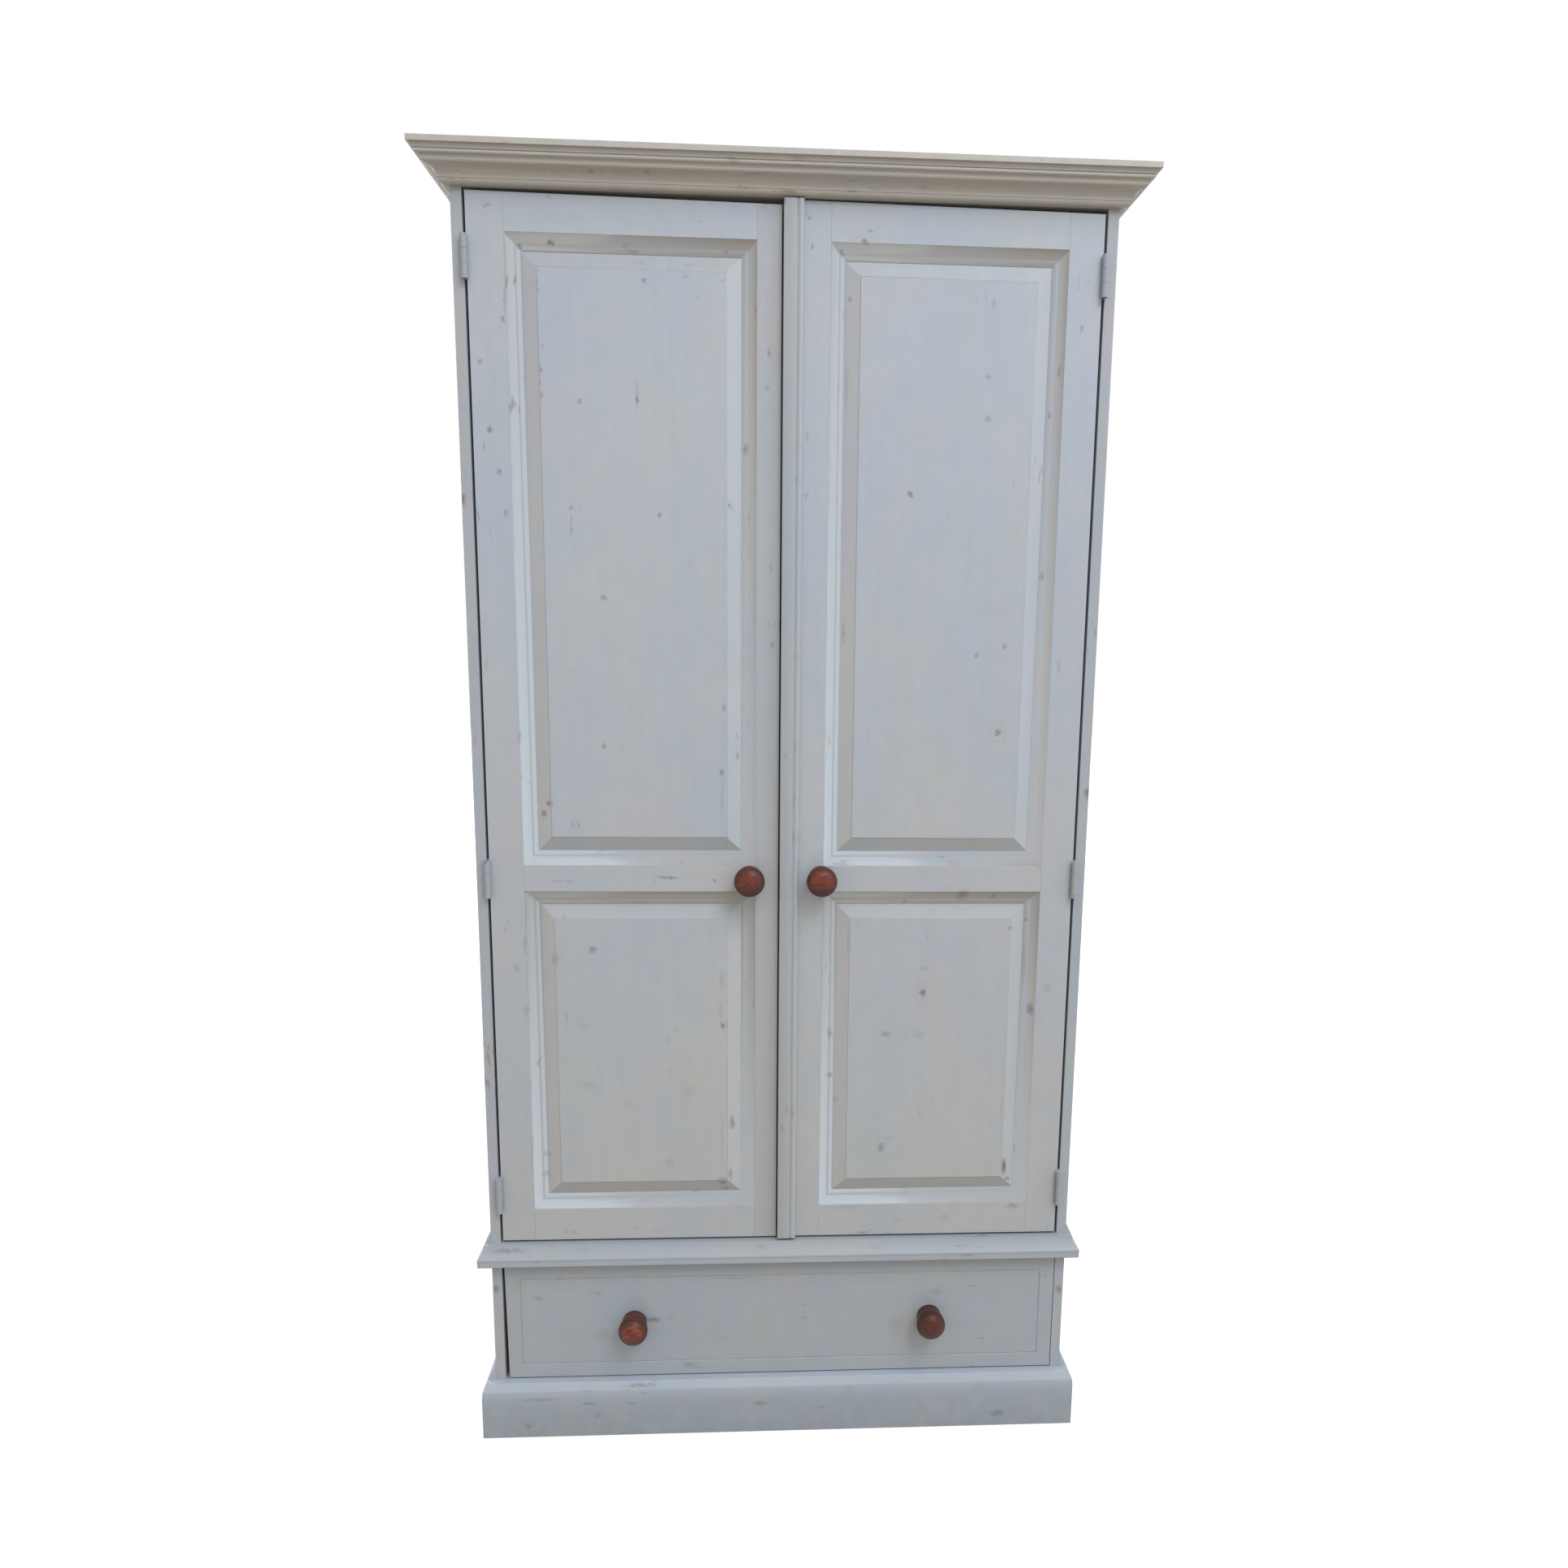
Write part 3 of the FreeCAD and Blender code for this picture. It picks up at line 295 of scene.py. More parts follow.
def rim(shade, rectangle, width):
    """A mask of the band along a rectangle's edges, one at its middle."""
    middle_x, middle_z, half_x, half_z = rectangle
    over_x = shade.minus(shade.maths("ABSOLUTE", shade.minus(shade.x, middle_x)), half_x)
    over_z = shade.minus(shade.maths("ABSOLUTE", shade.minus(shade.z, middle_z)), half_z)
    off = shade.maths("ABSOLUTE", shade.most(over_x, over_z))
    return shade.spread(off, 0.0, width, 1.0, 0.0)


# how marks get ragged outlines: the scale of the noise, and how far it pushes, in metres
RAGGED_SCALE = 170.0
RAGGED_REACH = 0.011
# where marks and knots are full and where they end, as shares of their half sizes
MARK_FADE = (0.3, 1.6)
KNOT_FADE = (0.3, 1.5)
KNOT_RING = 2.9
KNOT_RING_WIDTH = 0.9
KNOT_RING_SHARE = 0.07


def unsteady(shade):
    """Places pushed about by a millimetre or two, so that marks have ragged outlines."""
    values = {"Vector": shade.place, "Scale": RAGGED_SCALE, "Detail": 3.0}
    push = shade.node("ShaderNodeTexNoise", values).outputs["Color"]
    values = {0: push, 1: (0.5, 0.5, 0.5)}
    centred = shade.node("ShaderNodeVectorMath", values, operation="SUBTRACT").outputs[0]
    values = {0: centred, 1: (RAGGED_REACH, RAGGED_REACH, RAGGED_REACH), 2: shade.place}
    return shade.node("ShaderNodeVectorMath", values, operation="MULTIPLY_ADD").outputs[0]


def away_from(shade, place, mark):
    """How far a place is from a mark's middle: one at its outline."""
    x, z, width, height = [value * MILLIMETRE for value in mark[:4]]
    scales = (2 / width, 0.0, 2 / height)
    values = {0: place, 1: scales, 2: (-x * scales[0], 0.0, -z * scales[2])}
    scaled = shade.node("ShaderNodeVectorMath", values, operation="MULTIPLY_ADD").outputs[0]
    return shade.node("ShaderNodeVectorMath", {0: scaled}, operation="LENGTH").outputs["Value"]


def marked(shade, place, marks, where):
    """The share of a group of marks, where they may be."""
    share = 0.0
    for mark in marks:
        away = away_from(shade, place, mark)
        share = shade.most(shade.spread(away, *MARK_FADE, mark[4], 0.0), share)
    return shade.times(share, where)


def knotted(shade, place, marks, where):
    """Knots that show through paint: a dark middle and a faint ring round it."""
    share = 0.0
    for mark in marks:
        away = away_from(shade, place, mark)
        core = shade.spread(away, *KNOT_FADE, mark[4], 0.0)
        off = shade.maths("ABSOLUTE", shade.minus(away, KNOT_RING))
        ring = shade.spread(off, 0.0, KNOT_RING_WIDTH, mark[4] * KNOT_RING_SHARE, 0.0)
        share = shade.most(shade.most(core, ring), share)
    return shade.times(share, where)


def marks_on(name):
    """The marks within a solid's outline, seen from the front."""
    low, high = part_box(name)

    def reaches(middle, extent, least, most):
        return least < (middle + extent / 2) * MILLIMETRE and most > (middle - extent / 2) * MILLIMETRE

    return {kind: [row for row in rows
                   if reaches(row[0], row[2], low.x, high.x) and reaches(row[1], row[3], low.z, high.z)]
            for kind, rows in MARKS.items()}


# Bare pine

RINGS_PER_METRE = 165.0
# where the heart of a plank lies: how far it strays and how deep, and how it tilts along the grain
HEART_STRAY, HEART_DEPTH, HEART_TILT = 0.12, 0.09, 0.045
RING_SWAY, KNOT_SWELL = 0.035, 0.022
# the share of the places for knots that stay empty
KNOT_FREE = 0.72
PINE_RELIEF = 0.00025

# nails, in millimetres: a head's width; width, height and share of the rust round it
NAIL_HEAD = 6.5
NAIL_RUST = (15, 26, 0.55)
# only the outside of the back shows them
BACK_OUTSIDE = 0.3


def pine_layers(shade, axis, plank, seed):
    """Colour and height of bare pine: rings along the grain, planks and knots."""
    one, other, along = {"X": (shade.y, shade.z, shade.x), "Y": (shade.x, shade.z, shade.y),
                         "Z": (shade.x, shade.y, shade.z)}[axis]
    across = shade.plus(one, other)
    deep = shade.minus(one, other)
    index = shade.maths("FLOOR", shade.plus(shade.times(across, 1 / plank), seed))
    dice = shade.node("ShaderNodeTexWhiteNoise", {1: index}, noise_dimensions="1D")
    luck = shade.channels(dice.outputs["Color"])

    # knots: a dark core, and rings that swell round it
    knot_place = shade.join(shade.times(across, 7.0), shade.plus(shade.times(along, 2.2), luck[0]), index)
    cells = shade.node("ShaderNodeTexVoronoi", {"Vector": knot_place, "Scale": 1.0, "Randomness": 0.9}).outputs
    kept = shade.maths("GREATER_THAN", shade.channels(cells["Color"])[0], KNOT_FREE)
    near = shade.spread(cells["Distance"], 0.0, 0.42, 1.0, 0.0)
    swell = shade.times(shade.times(near, near), kept)
    core = shade.times(shade.spread(cells["Distance"], 0.05, 0.085, 1.0, 0.0), kept)

    # rings: pale early wood that turns into dark late wood and ends sharply
    sway = shade.noise(shade.join(shade.times(across, 9.0), shade.times(along, 1.6), index), detail=2.0)
    heart_across = shade.minus(across, shade.times(shade.minus(luck[1], 0.5), HEART_STRAY))
    heart_deep = shade.plus(deep, shade.plus(HEART_DEPTH, shade.times(along, HEART_TILT)))
    ring = shade.plus(shade.hypotenuse(heart_across, heart_deep), shade.times(sway, RING_SWAY))
    ring = shade.plus(ring, shade.times(swell, KNOT_SWELL))
    share = shade.maths("FRACT", shade.times(ring, RINGS_PER_METRE))
    late = shade.times(shade.spread(share, 0.25, 0.85), shade.spread(share, 0.88, 1.0, 1.0, 0.0))
    fibre = shade.noise(along_grain(shade, axis, 900.0, 22.0), detail=2.0)

    colour = shade.mix(shade.times(late, 0.62), PINE_EARLY, PINE_LATE)
    for darker in (shade.spread(luck[2], 0.0, 1.0, 0.0, 0.22), shade.spread(fibre, 0.35, 0.75, 0.0, 0.25),
                   shade.times(swell, 0.5)):
        colour = shade.mix(darker, colour, PINE_LATE)
    colour = shade.mix(core, colour, PINE_KNOT)
    age = shade.noise(shade.stretched((3.0, 3.0, 3.0), (seed, 0, 0)), detail=4.0)
    colour = shade.mix(shade.spread(age, 0.4, 0.75, 0.0, 0.28), colour, GRIME)
    height = shade.plus(shade.times(late, 0.5), shade.times(fibre, 0.5))
    return colour, height


def pine(name, axis, plank, seed, nails, dust):
    """Bare pine that has aged a little, with dust on top and the heads of nails on the outside of the back."""
    shade = Shade(name)
    colour, height = pine_layers(shade, axis, plank, seed)
    if dust:
        drifts = shade.noise(shade.stretched((7.0, 7.0, 7.0)), detail=5.0, roughness=0.6)
        on_top = shade.times(shade.spread(shade.upward, 0.6, 0.95),
                            shade.spread(drifts, 0.3, 0.65, dust * 0.6, dust))
        colour = shade.mix(on_top, colour, DUST_AND_SHADE)
    rough = shade.spread(height, 0.0, 1.0, 0.72, 0.58)
    if nails:
        outside = shade.maths("GREATER_THAN", shade.y, BACK_OUTSIDE)
        heads = marked(shade, shade.place, [(x, z, NAIL_HEAD, NAIL_HEAD, 1.0) for x, z in nails], outside)
        rust = marked(shade, unsteady(shade), [(x, z) + NAIL_RUST for x, z in nails], outside)
        colour = shade.mix(rust, colour, PINE_KNOT)
        colour = shade.mix(heads, colour, NAIL)
        height = shade.minus(height, shade.times(heads, 2.0))
    return shade.finish(colour, rough, shade.bump(height, PINE_RELIEF, 0.6))


# Paint over pine

BRUSH_RELIEF = 0.0003
DENT_DEPTH = 0.0007
WOOD_RELIEF = 0.0002
BARE_PLANK = 0.112
# heights between which the warmer tint towards the foot fades out
FOOT_TINT_HEIGHTS = (0.35, 1.6)
# how strong the painted shade is on faces that look to the left
LEFT_SHADE_SHARE = 0.27
# how dark the painted shade is on the run over a panel
TOP_RUN_SHADE = 0.4
# cells across and along the grain, the share of them without a dent, a dent's size in its cell, a shift
DENTS = ((34.0, 15.0, 0.93, 0.15, 0.0), (80.0, 22.0, 0.955, 0.26, 7.7))
# the listed marks lie in front of the first and fade out at the second, along Y
MARKED_FRONT = (-0.24, -0.232)


def tinted(shade, slot, seed, shift, mottle, strokes, fibres):
    """Brushed paint with bluish, pinkish and greenish patches."""
    main, bluish, pinkish, greenish = PAINT[slot]
    clouds = shade.noise(shade.stretched((5.5, 5.5, 3.2), shift), detail=4.0, roughness=0.6)
    drift = shade.noise(shade.stretched((11.0, 11.0, 6.0), (3.1 + seed, 0, 1.7)), detail=4.0, roughness=0.62)
    colour = shade.mix(shade.spread(clouds, 0.36, 0.62), main, bluish)
    colour = shade.mix(shade.spread(drift, 0.5, 0.68, 0.0, 0.5), colour, pinkish)
    colour = shade.mix(shade.spread(drift, 0.46, 0.3, 0.0, 0.5), colour, greenish)
    tone = shade.plus(shade.spread(strokes, 0.3, 0.7, -0.005, 0.005),
                      shade.spread(fibres, 0.3, 0.7, -0.013, 0.013))
    tone = shade.plus(tone, shade.spread(mottle, 0.3, 0.7, -0.02, 0.02))
    tone = shade.plus(tone, 1.0)
    return shade.mix(1.0, colour, shade.join(tone, tone, tone), "MULTIPLY")


def dirtied_and_shaded(shade, colour, run, mottle, yellowed, grime, dust, clean, soiled):
    """The colour with dust, with painted light and shade by the way its faces turn, and with the places where
    it is darker.
    """
    if yellowed:
        low = shade.spread(shade.z, *FOOT_TINT_HEIGHTS, yellowed, 0.0)
        colour = shade.mix(low, colour, FOOT_TINT, "MULTIPLY")
    patches = shade.spread(mottle, 0.3, 0.6, 0.6, 1.0)
    # painted shade on the faces that look down
    under = shade.times(shade.spread(shade.upward, -0.35, -0.05, grime, 0.0), patches)
    colour = shade.mix(under, colour, PAINTED_SHADE)
    # on faces that look up: dust, and painted shade that dims them against the light from above
    if dust:
        on_top = shade.times(shade.spread(shade.upward, 0.1, 0.6, 0.0, dust), patches)
        colour = shade.mix(on_top, colour, DUST_AND_SHADE)
    if clean:
        # painted light on faces that look to the right, painted shade on those to the left
        colour = shade.mix(shade.spread(shade.sideways, 0.04, 0.16, 0.0, clean), colour, RIGHT_LIGHT_TINT)
        colour = shade.mix(shade.spread(shade.sideways, -0.1, -0.4, 0.0, LEFT_SHADE_SHARE), colour, LEFT_SHADE_TINT)
    if not isinstance(run, str):
        # painted shade on the run over a panel, whose faces turn down
        upper = shade.maths("GREATER_THAN", shade.z, run[1])
        over = shade.times(shade.times(upper, level_run(shade, run)), TOP_RUN_SHADE)
        colour = shade.mix(over, colour, PAINTED_SHADE)
    # darker places: painted shadow on the left meeting stile, painted shade on the cornice, and darker towards
    # the strip's edge and the plinth's foot
    for axis, begins, full, most, tone in soiled:
        along = {"x": shade.x, "z": shade.z}[axis]
        share = shade.times(shade.spread(along, begins, full, 0.0, most), patches)
        colour = shade.mix(share, colour, tone)
    return colour


def rubbed_through(shade, colour, rub, seed, wear, lines):
    """The colour with the paint rubbed through, and the share of it that is."""
    patchy = shade.noise(shade.stretched((17.0, 17.0, 13.0), (seed, 5.2, 0)), detail=3.0)
    rubbed = shade.times(shade.spread(rub, 0.62 - 0.2 * wear, 0.68 - 0.1 * wear),
                         shade.spread(patchy, 0.62 - 0.28 * wear, 0.7 - 0.14 * wear))
    rubbed = shade.times(rubbed, min(1.0, 0.35 + wear))
    for rectangle, width, strength in lines:
        band = rim(shade, rectangle, width)
        broken = shade.times(shade.spread(shade.plus(rub, shade.times(band, 0.16)), 0.58, 0.72),
                             shade.spread(patchy, 0.4, 0.56))
        rubbed = shade.most(rubbed, shade.times(shade.times(band, broken), strength))
        colour = shade.mix(shade.times(band, 0.1 * strength), colour, GRIME)
    wood = shade.mix(shade.spread(rub, 0.6, 0.85), WORN, BARE)
    return shade.mix(rubbed, colour, wood), rubbed


def dented(shade, run, seed, flecks):
    """The share of dents, nail holes and open grain, longer along the grain."""
    dents = 0.0
    for across, along, free, size, turn in DENTS:
        def cell(axis):
            place = along_grain(shade, axis, across, along, (turn + seed, turn, seed))
            values = {"Vector": place, "Scale": 1.0, "Randomness": 1.0}
            found = shade.node("ShaderNodeTexVoronoi", values).outputs
            luck = shade.channels(found["Color"])[1]
            kept = shade.maths("GREATER_THAN", luck, 1 - (1 - free) * flecks)
            return shade.times(shade.spread(found["Distance"], size * 0.2, size, 0.6, 0.0), kept)

        dents = shade.most(by_run(shade, run, cell), dents)
    return dents


def knocked(shade, colour, rub, dents, marks):
    """The colour, the dents and the chips of the listed marks."""
    front = shade.spread(shade.y, *MARKED_FRONT, 1.0, 0.0)
    place = unsteady(shade)
    colour = shade.mix(marked(shade, place, marks["stain"], front), colour, STAIN)
    # smears, one of them a painted shadow of a knob
    colour = shade.mix(marked(shade, place, marks["smear_and_shadow"], front), colour, SMEAR_AND_SHADOW)
    chips = marked(shade, place, marks["chip"], front)
    colour = shade.mix(chips, colour, shade.mix(shade.spread(rub, 0.4, 0.7), WORN, BARE))
    dents = shade.most(dents, marked(shade, place, marks["pit"], front))
    dents = shade.most(dents, knotted(shade, place, marks["knot"], front))
    return colour, dents, chips


def paint(name, slot, run, seed, wear, flecks, lines=(), marks=None, bare=None, yellowed=0.0, grime=0.25,
          dust=0.0, clean=0.0, soiled=()):
    """Brushed and rubbed paint over pine.

    run is the axis of the grain, or the rectangle of a mitred frame. wear is the share of the
    surface rubbed through, and flecks that of the places for dents. lines are rectangles along
    whose edges the paint is broken, each with a width and a strength. marks are those listed.
    bare says where the wood was never painted. Then come, in order: how much warmer and darker
    the paint turns towards the foot; the painted shade on the faces that look down; the dust and
    painted shade that dim the faces that look up; the painted light on the faces that look to the
    right, with painted shade on those to the left; and where the paint is darker, as rows of an
    axis, where the darkening begins, where it is full, its share and its colour.
    """
    shade = Shade(name)
    shift = (seed, seed * 0.7, seed * 1.3)

    def pattern(across, along, detail, extra=0.0):
        return by_run(shade, run, lambda axis: shade.noise(
            along_grain(shade, axis, across, along, shift), detail=detail, distortion=extra))

    mottle = shade.noise(shade.stretched((46.0, 46.0, 30.0), shift), detail=3.0, roughness=0.6)
    strokes = pattern(330.0, 6.0, 3.0)
    fibres = pattern(95.0, 2.2, 4.0, 0.3)
    rub = pattern(150.0, 34.0, 4.0)
    colour = tinted(shade, slot, seed, shift, mottle, strokes, fibres)
    colour = dirtied_and_shaded(shade, colour, run, mottle, yellowed, grime, dust, clean, soiled)
    colour, rubbed = rubbed_through(shade, colour, rub, seed, wear, lines)
    dents = dented(shade, run, seed, flecks)
    if marks:
        colour, dents, chips = knocked(shade, colour, rub, dents, marks)
        rubbed = shade.most(rubbed, chips)
    colour = shade.mix(shade.times(dents, 0.85), colour, PIT)

    height = shade.plus(shade.times(strokes, 0.3), shade.times(fibres, 0.7))
    normal = shade.bump(height, BRUSH_RELIEF, 0.16)
    normal = shade.bump(shade.minus(0.0, dents), DENT_DEPTH, 0.8, normal)
    rough = shade.plus(shade.spread(strokes, 0.3, 0.7, 0.44, 0.54), shade.times(rubbed, 0.2))
    if bare is not None:
        share = bare(shade)
        wood, wood_height = pine_layers(shade, run, BARE_PLANK, seed)
        colour = shade.mix(share, colour, wood)
        rough = shade.plus(rough, shade.times(share, 0.14))
        normal = shade.bump(shade.times(wood_height, share), WOOD_RELIEF, 0.6, normal)
    return shade.finish(colour, rough, normal)


# Dressing the solids of the frame

WELD_REACH = 0.00002
FLAT_DEGREES = 0.4
CREASE_DEGREES = 17
ROUND_SEGMENTS = 2
NORMAL_WEIGHT = 90
# how far behind its foremost point a face still counts as the foremost
FRONT_SLACK = 0.0002


def assign(name, *materials):
    """Gives a solid its materials: the first for its faces, the second for its worn edges."""
    solid = NODES[name]
    while len(solid.material_slots) < len(materials):
        solid.data.materials.append(None)
    for slot, material in zip(solid.material_slots, materials):
        slot.link = "OBJECT"
        slot.material = material


def soften(name, width, edge_slot=0, mitred=False):
    """Rounds a solid's sharp edges a little, as planed and painted wood has them.

    A mitred moulding has short edges at its ends, so there the rounding is kept within them.
    """
    solid = NODES[name]
    weld = solid.modifiers.new("weld", "WELD")
    weld.merge_threshold = WELD_REACH
    flat = solid.modifiers.new("flat", "DECIMATE")
    flat.decimate_type = "DISSOLVE"
    flat.angle_limit = math.radians(FLAT_DEGREES)
    bevel = solid.modifiers.new("bevel", "BEVEL")
    bevel.limit_method = "ANGLE"
    bevel.angle_limit = math.radians(CREASE_DEGREES)
    bevel.width = width
    bevel.segments = ROUND_SEGMENTS
    bevel.use_clamp_overlap = mitred
    bevel.material = edge_slot
    shading = solid.modifiers.new("shading", "WEIGHTED_NORMAL")
    shading.weight = NORMAL_WEIGHT
    shading.keep_sharp = False


def rectangle_of(name, front_only=False):
    """Middle and half spans, across and up, of a solid or of its foremost face."""
    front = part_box(name)[0].y + FRONT_SLACK
    places = [v.co for v in NODES[name].data.vertices if not front_only or v.co.y < front]
    spans = []
    for axis in (0, 2):
        values = [p[axis] for p in places]
        spans.append((min(values), max(values)))
    return ((spans[0][0] + spans[0][1]) / 2, (spans[1][0] + spans[1][1]) / 2,
            (spans[0][1] - spans[0][0]) / 2, (spans[1][1] - spans[1][0]) / 2)


def within(rectangle, inset):
    """A rectangle that lies an inset inside another."""
    middle_x, middle_z, half_x, half_z = rectangle
    return (middle_x, middle_z, half_x - inset, half_z - inset)


edge_paints = {}


def dress(name, slot, run, seed, width=0.0005, wear=0.12, flecks=0.14, edge_wear=0.3, lines=(), mitred=False,
          **look):
    """Paints a solid and softens its edges, which are worn more than its faces.

    look is the rest of what paint() takes. Solids that are alike share the paint of their edges.
    """
    face = paint(name + "_face", slot, run, seed, wear, flecks, lines, marks_on(name), **look)
    kind = (slot, run, edge_wear, tuple(sorted(look.items())))
    if kind not in edge_paints:
        edge_paints[kind] = paint(name + "_edge", slot, run, seed, edge_wear, flecks, **look)
    assign(name, face, edge_paints[kind])
    soften(name, width, 1, mitred)


seeds = random.Random(11)


def seed_of():
    """The next random seed of a pattern."""
    return seeds.uniform(0.0, 9.0)


# where the paint is darker: along an axis, from where it begins to where it is full, its share and its colour,
# in metres; on the left meeting stile this is painted shadow, the shade the closing strip casts beside it, and
# on the cornice painted shade on its top lip and over its cove and below; the strip is darker towards its left
# edge and the plinth towards its foot
LEFT_STILE_STRIP_SHADOW = (("x", -0.12, -0.036, 0.16, MEETING_DARK), ("x", -0.036, -0.011, 0.32, MEETING_DARK))
STRIP_EDGE_DARKENING = (("x", 0.014, -0.002, 0.3, MEETING_DARK),)
PLINTH_FOOT_DARKENING = (("z", 0.082, 0.060, 0.32, PLINTH_FOOT_TONE), ("z", 0.06, 0.0, 0.22, PLINTH_FOOT_TONE))
CORNICE_SHADE = (("z", 1.988, 1.997, 0.35, PAINTED_SHADE), ("z", 1.979, 1.967, 0.2, PAINTED_SHADE))

DOOR_FRAME = (("hinge_stile", "Z"), ("meeting_stile", "Z"), ("top_rail", "X"), ("lock_rail", "X"),
              ("bottom_rail", "X"))
# dust, and painted shade that dims the panels' faces that look up
PANEL_DUST_AND_SHADE = {"upper": 0.9, "lower": 0.5}

for side in SIDES:
    door = side + "_door_"
    for member, run in DOOR_FRAME:
        dress(door + member, "door_paint", run, seed_of(), width=0.0004, wear=0.1, flecks=0.1, yellowed=1.0,
              soiled=LEFT_STILE_STRIP_SHADOW if door + member == "left_door_meeting_stile" else ())
    for level, dust in PANEL_DUST_AND_SHADE.items():
        frame_rect = rectangle_of(door + level + "_moulding")
        field = rectangle_of(door + level + "_panel", True)
        # mouldings and panels: painted light on faces that look right, painted shade on those that look left
        dress(door + level + "_moulding", "moulding_paint", frame_rect, seed_of(), wear=0.16,
              lines=((within(frame_rect, 0.001), 0.0025, 0.2),), mitred=True, yellowed=0.5, clean=0.55)
        dress(door + level + "_panel", "door_paint", "Z", seed_of(), width=0.0006, wear=0.03, flecks=0.08,
              edge_wear=0.16, lines=((field, 0.006, 0.1),), yellowed=1.0, grime=0.15, dust=dust, clean=0.2)
dress("right_door_closing_strip", "moulding_paint", "Z", seed_of(), width=0.0007, wear=0.14, yellowed=0.7,
      soiled=STRIP_EDGE_DARKENING)

# where the painted pieces were left bare, in metres: inside the side boards, behind their front
# edge and on their back edge, and behind the drawer front
SIDE_INNER_FACE = 0.46415
SIDE_BARE_BEHIND = -0.236
SIDE_BACK_EDGE = 0.3028
DRAWER_BARE_BEHIND = -0.2385


def bare_behind(shade, scales, reach, limit):
    """Where a piece was left bare behind an uneven limit along Y."""
    wobble = shade.times(shade.noise(shade.stretched(scales), detail=3.0), reach)
    return shade.maths("GREATER_THAN", shade.plus(shade.y, wobble), limit)


def inside(shade):
    """Where the side boards were left bare: their inner faces, and their back edges."""
    behind = bare_behind(shade, (60.0, 60.0, 9.0), 0.012, SIDE_BARE_BEHIND)
    inner = shade.maths("LESS_THAN", shade.maths("ABSOLUTE", shade.x), SIDE_INNER_FACE)
    back = shade.maths("GREATER_THAN", shade.y, SIDE_BACK_EDGE)
    return shade.most(shade.times(inner, behind), back)


def behind_front(shade):
    """The bare back of the drawer front."""
    return bare_behind(shade, (70.0, 70.0, 70.0), 0.006, DRAWER_BARE_BEHIND)


TRIM = (
    # the cornice: painted shade on faces that look down, on its top lip and over its cove, and dust with
    # painted shade on faces that look up
    ("cornice_", "cornice_paint", {"width": 0.0006, "flecks": 0.12, "edge_wear": 0.18, "grime": 0.15,
                                   "dust": 0.75, "soiled": CORNICE_SHADE}),
    ("waist_", "carcass_paint", {"width": 0.0006, "wear": 0.14, "dust": 0.45}),
    ("plinth_", "plinth_paint", {"width": 0.0008, "wear": 0.14, "dust": 0.1, "soiled": PLINTH_FOOT_DARKENING}),
)


def dress_trim(place, run):
    """Paints the mitred lengths of the cornice, the waist moulding and the plinth."""
    for kind, slot, look in TRIM:
        dress(kind + place, slot, run, seed_of(), mitred=True, **look)


for side in SIDES:
    dress("side_" + side, "carcass_paint", "Z", seed_of(), wear=0.14, flecks=0.4, bare=inside)
    dress_trim(side, "Y")
dress_trim("front", "X")
for rail in ("head_rail", "drawer_top_rail", "drawer_bottom_rail"):
    dress(rail, "carcass_paint", "X", seed_of(), wear=0.14)
dress("drawer_front", "drawer_paint", "X", seed_of(), wear=0.06, flecks=0.12,
      lines=((within(rectangle_of("drawer_front"), 0.0245), 0.0018, 0.6),), bare=behind_front)

# nails through the back boards into the rail, the floor and the sides, in millimetres
NAIL_ROWS = (78, 336)
NAIL_COLUMNS = (12, 106, 213, 307)
SIDE_NAILS = range(170, 1960, 223)
SIDE_NAIL_INSET = 4
# the edge of a back board lies at a side where it is farther out than this
SIDE_REACH = 0.46


def nails_of(name):
    """Where the nails of a back board are, across and up."""
    if not name.startswith("back_board"):
        return ()
    low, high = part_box(name)
    places = [(low.x / MILLIMETRE + column, row) for row in NAIL_ROWS for column in NAIL_COLUMNS]
    for edge in (low.x, high.x):
        if abs(edge) > SIDE_REACH:
            across = math.copysign(abs(edge) / MILLIMETRE - SIDE_NAIL_INSET, edge)
            places += [(across, height) for height in SIDE_NAILS]
    return places


PINE_EDGE = 0.0009
TOP_DUST = 0.6

for name, axis, plank in (
        ("back_board_1", "Z", 0.16), ("back_board_2", "Z", 0.16), ("back_board_3", "Z", 0.16),
        ("top_board", "X", 0.14), ("floor_board", "X", 0.12), ("door_stop", "X", 0.2),
        ("drawer_back", "X", 0.2), ("drawer_bottom", "X", 0.13), ("drawer_side_left", "Y", 0.2),
        ("drawer_side_right", "Y", 0.2), ("drawer_kickers", "Y", 0.2), ("drawer_runners", "Y", 0.2),
        ("drawer_stops", "X", 0.2), ("hanging_rail", "X", 0.2), ("rail_sockets", "Z", 0.2),
        ("rear_bottom_rail", "X", 0.2)):
    dust = TOP_DUST if name == "top_board" else 0.0
    assign(name, pine(name + "_pine", axis, plank, round(seed_of(), 2), nails_of(name), dust))
    soften(name, PINE_EDGE)

METAL_RELIEF = 0.0002
# how much of the hinges' steel shows through
LEAF_SHOWN, PIN_SHOWN, SCREW_SHOWN = 0.02, 0.2, 0.06


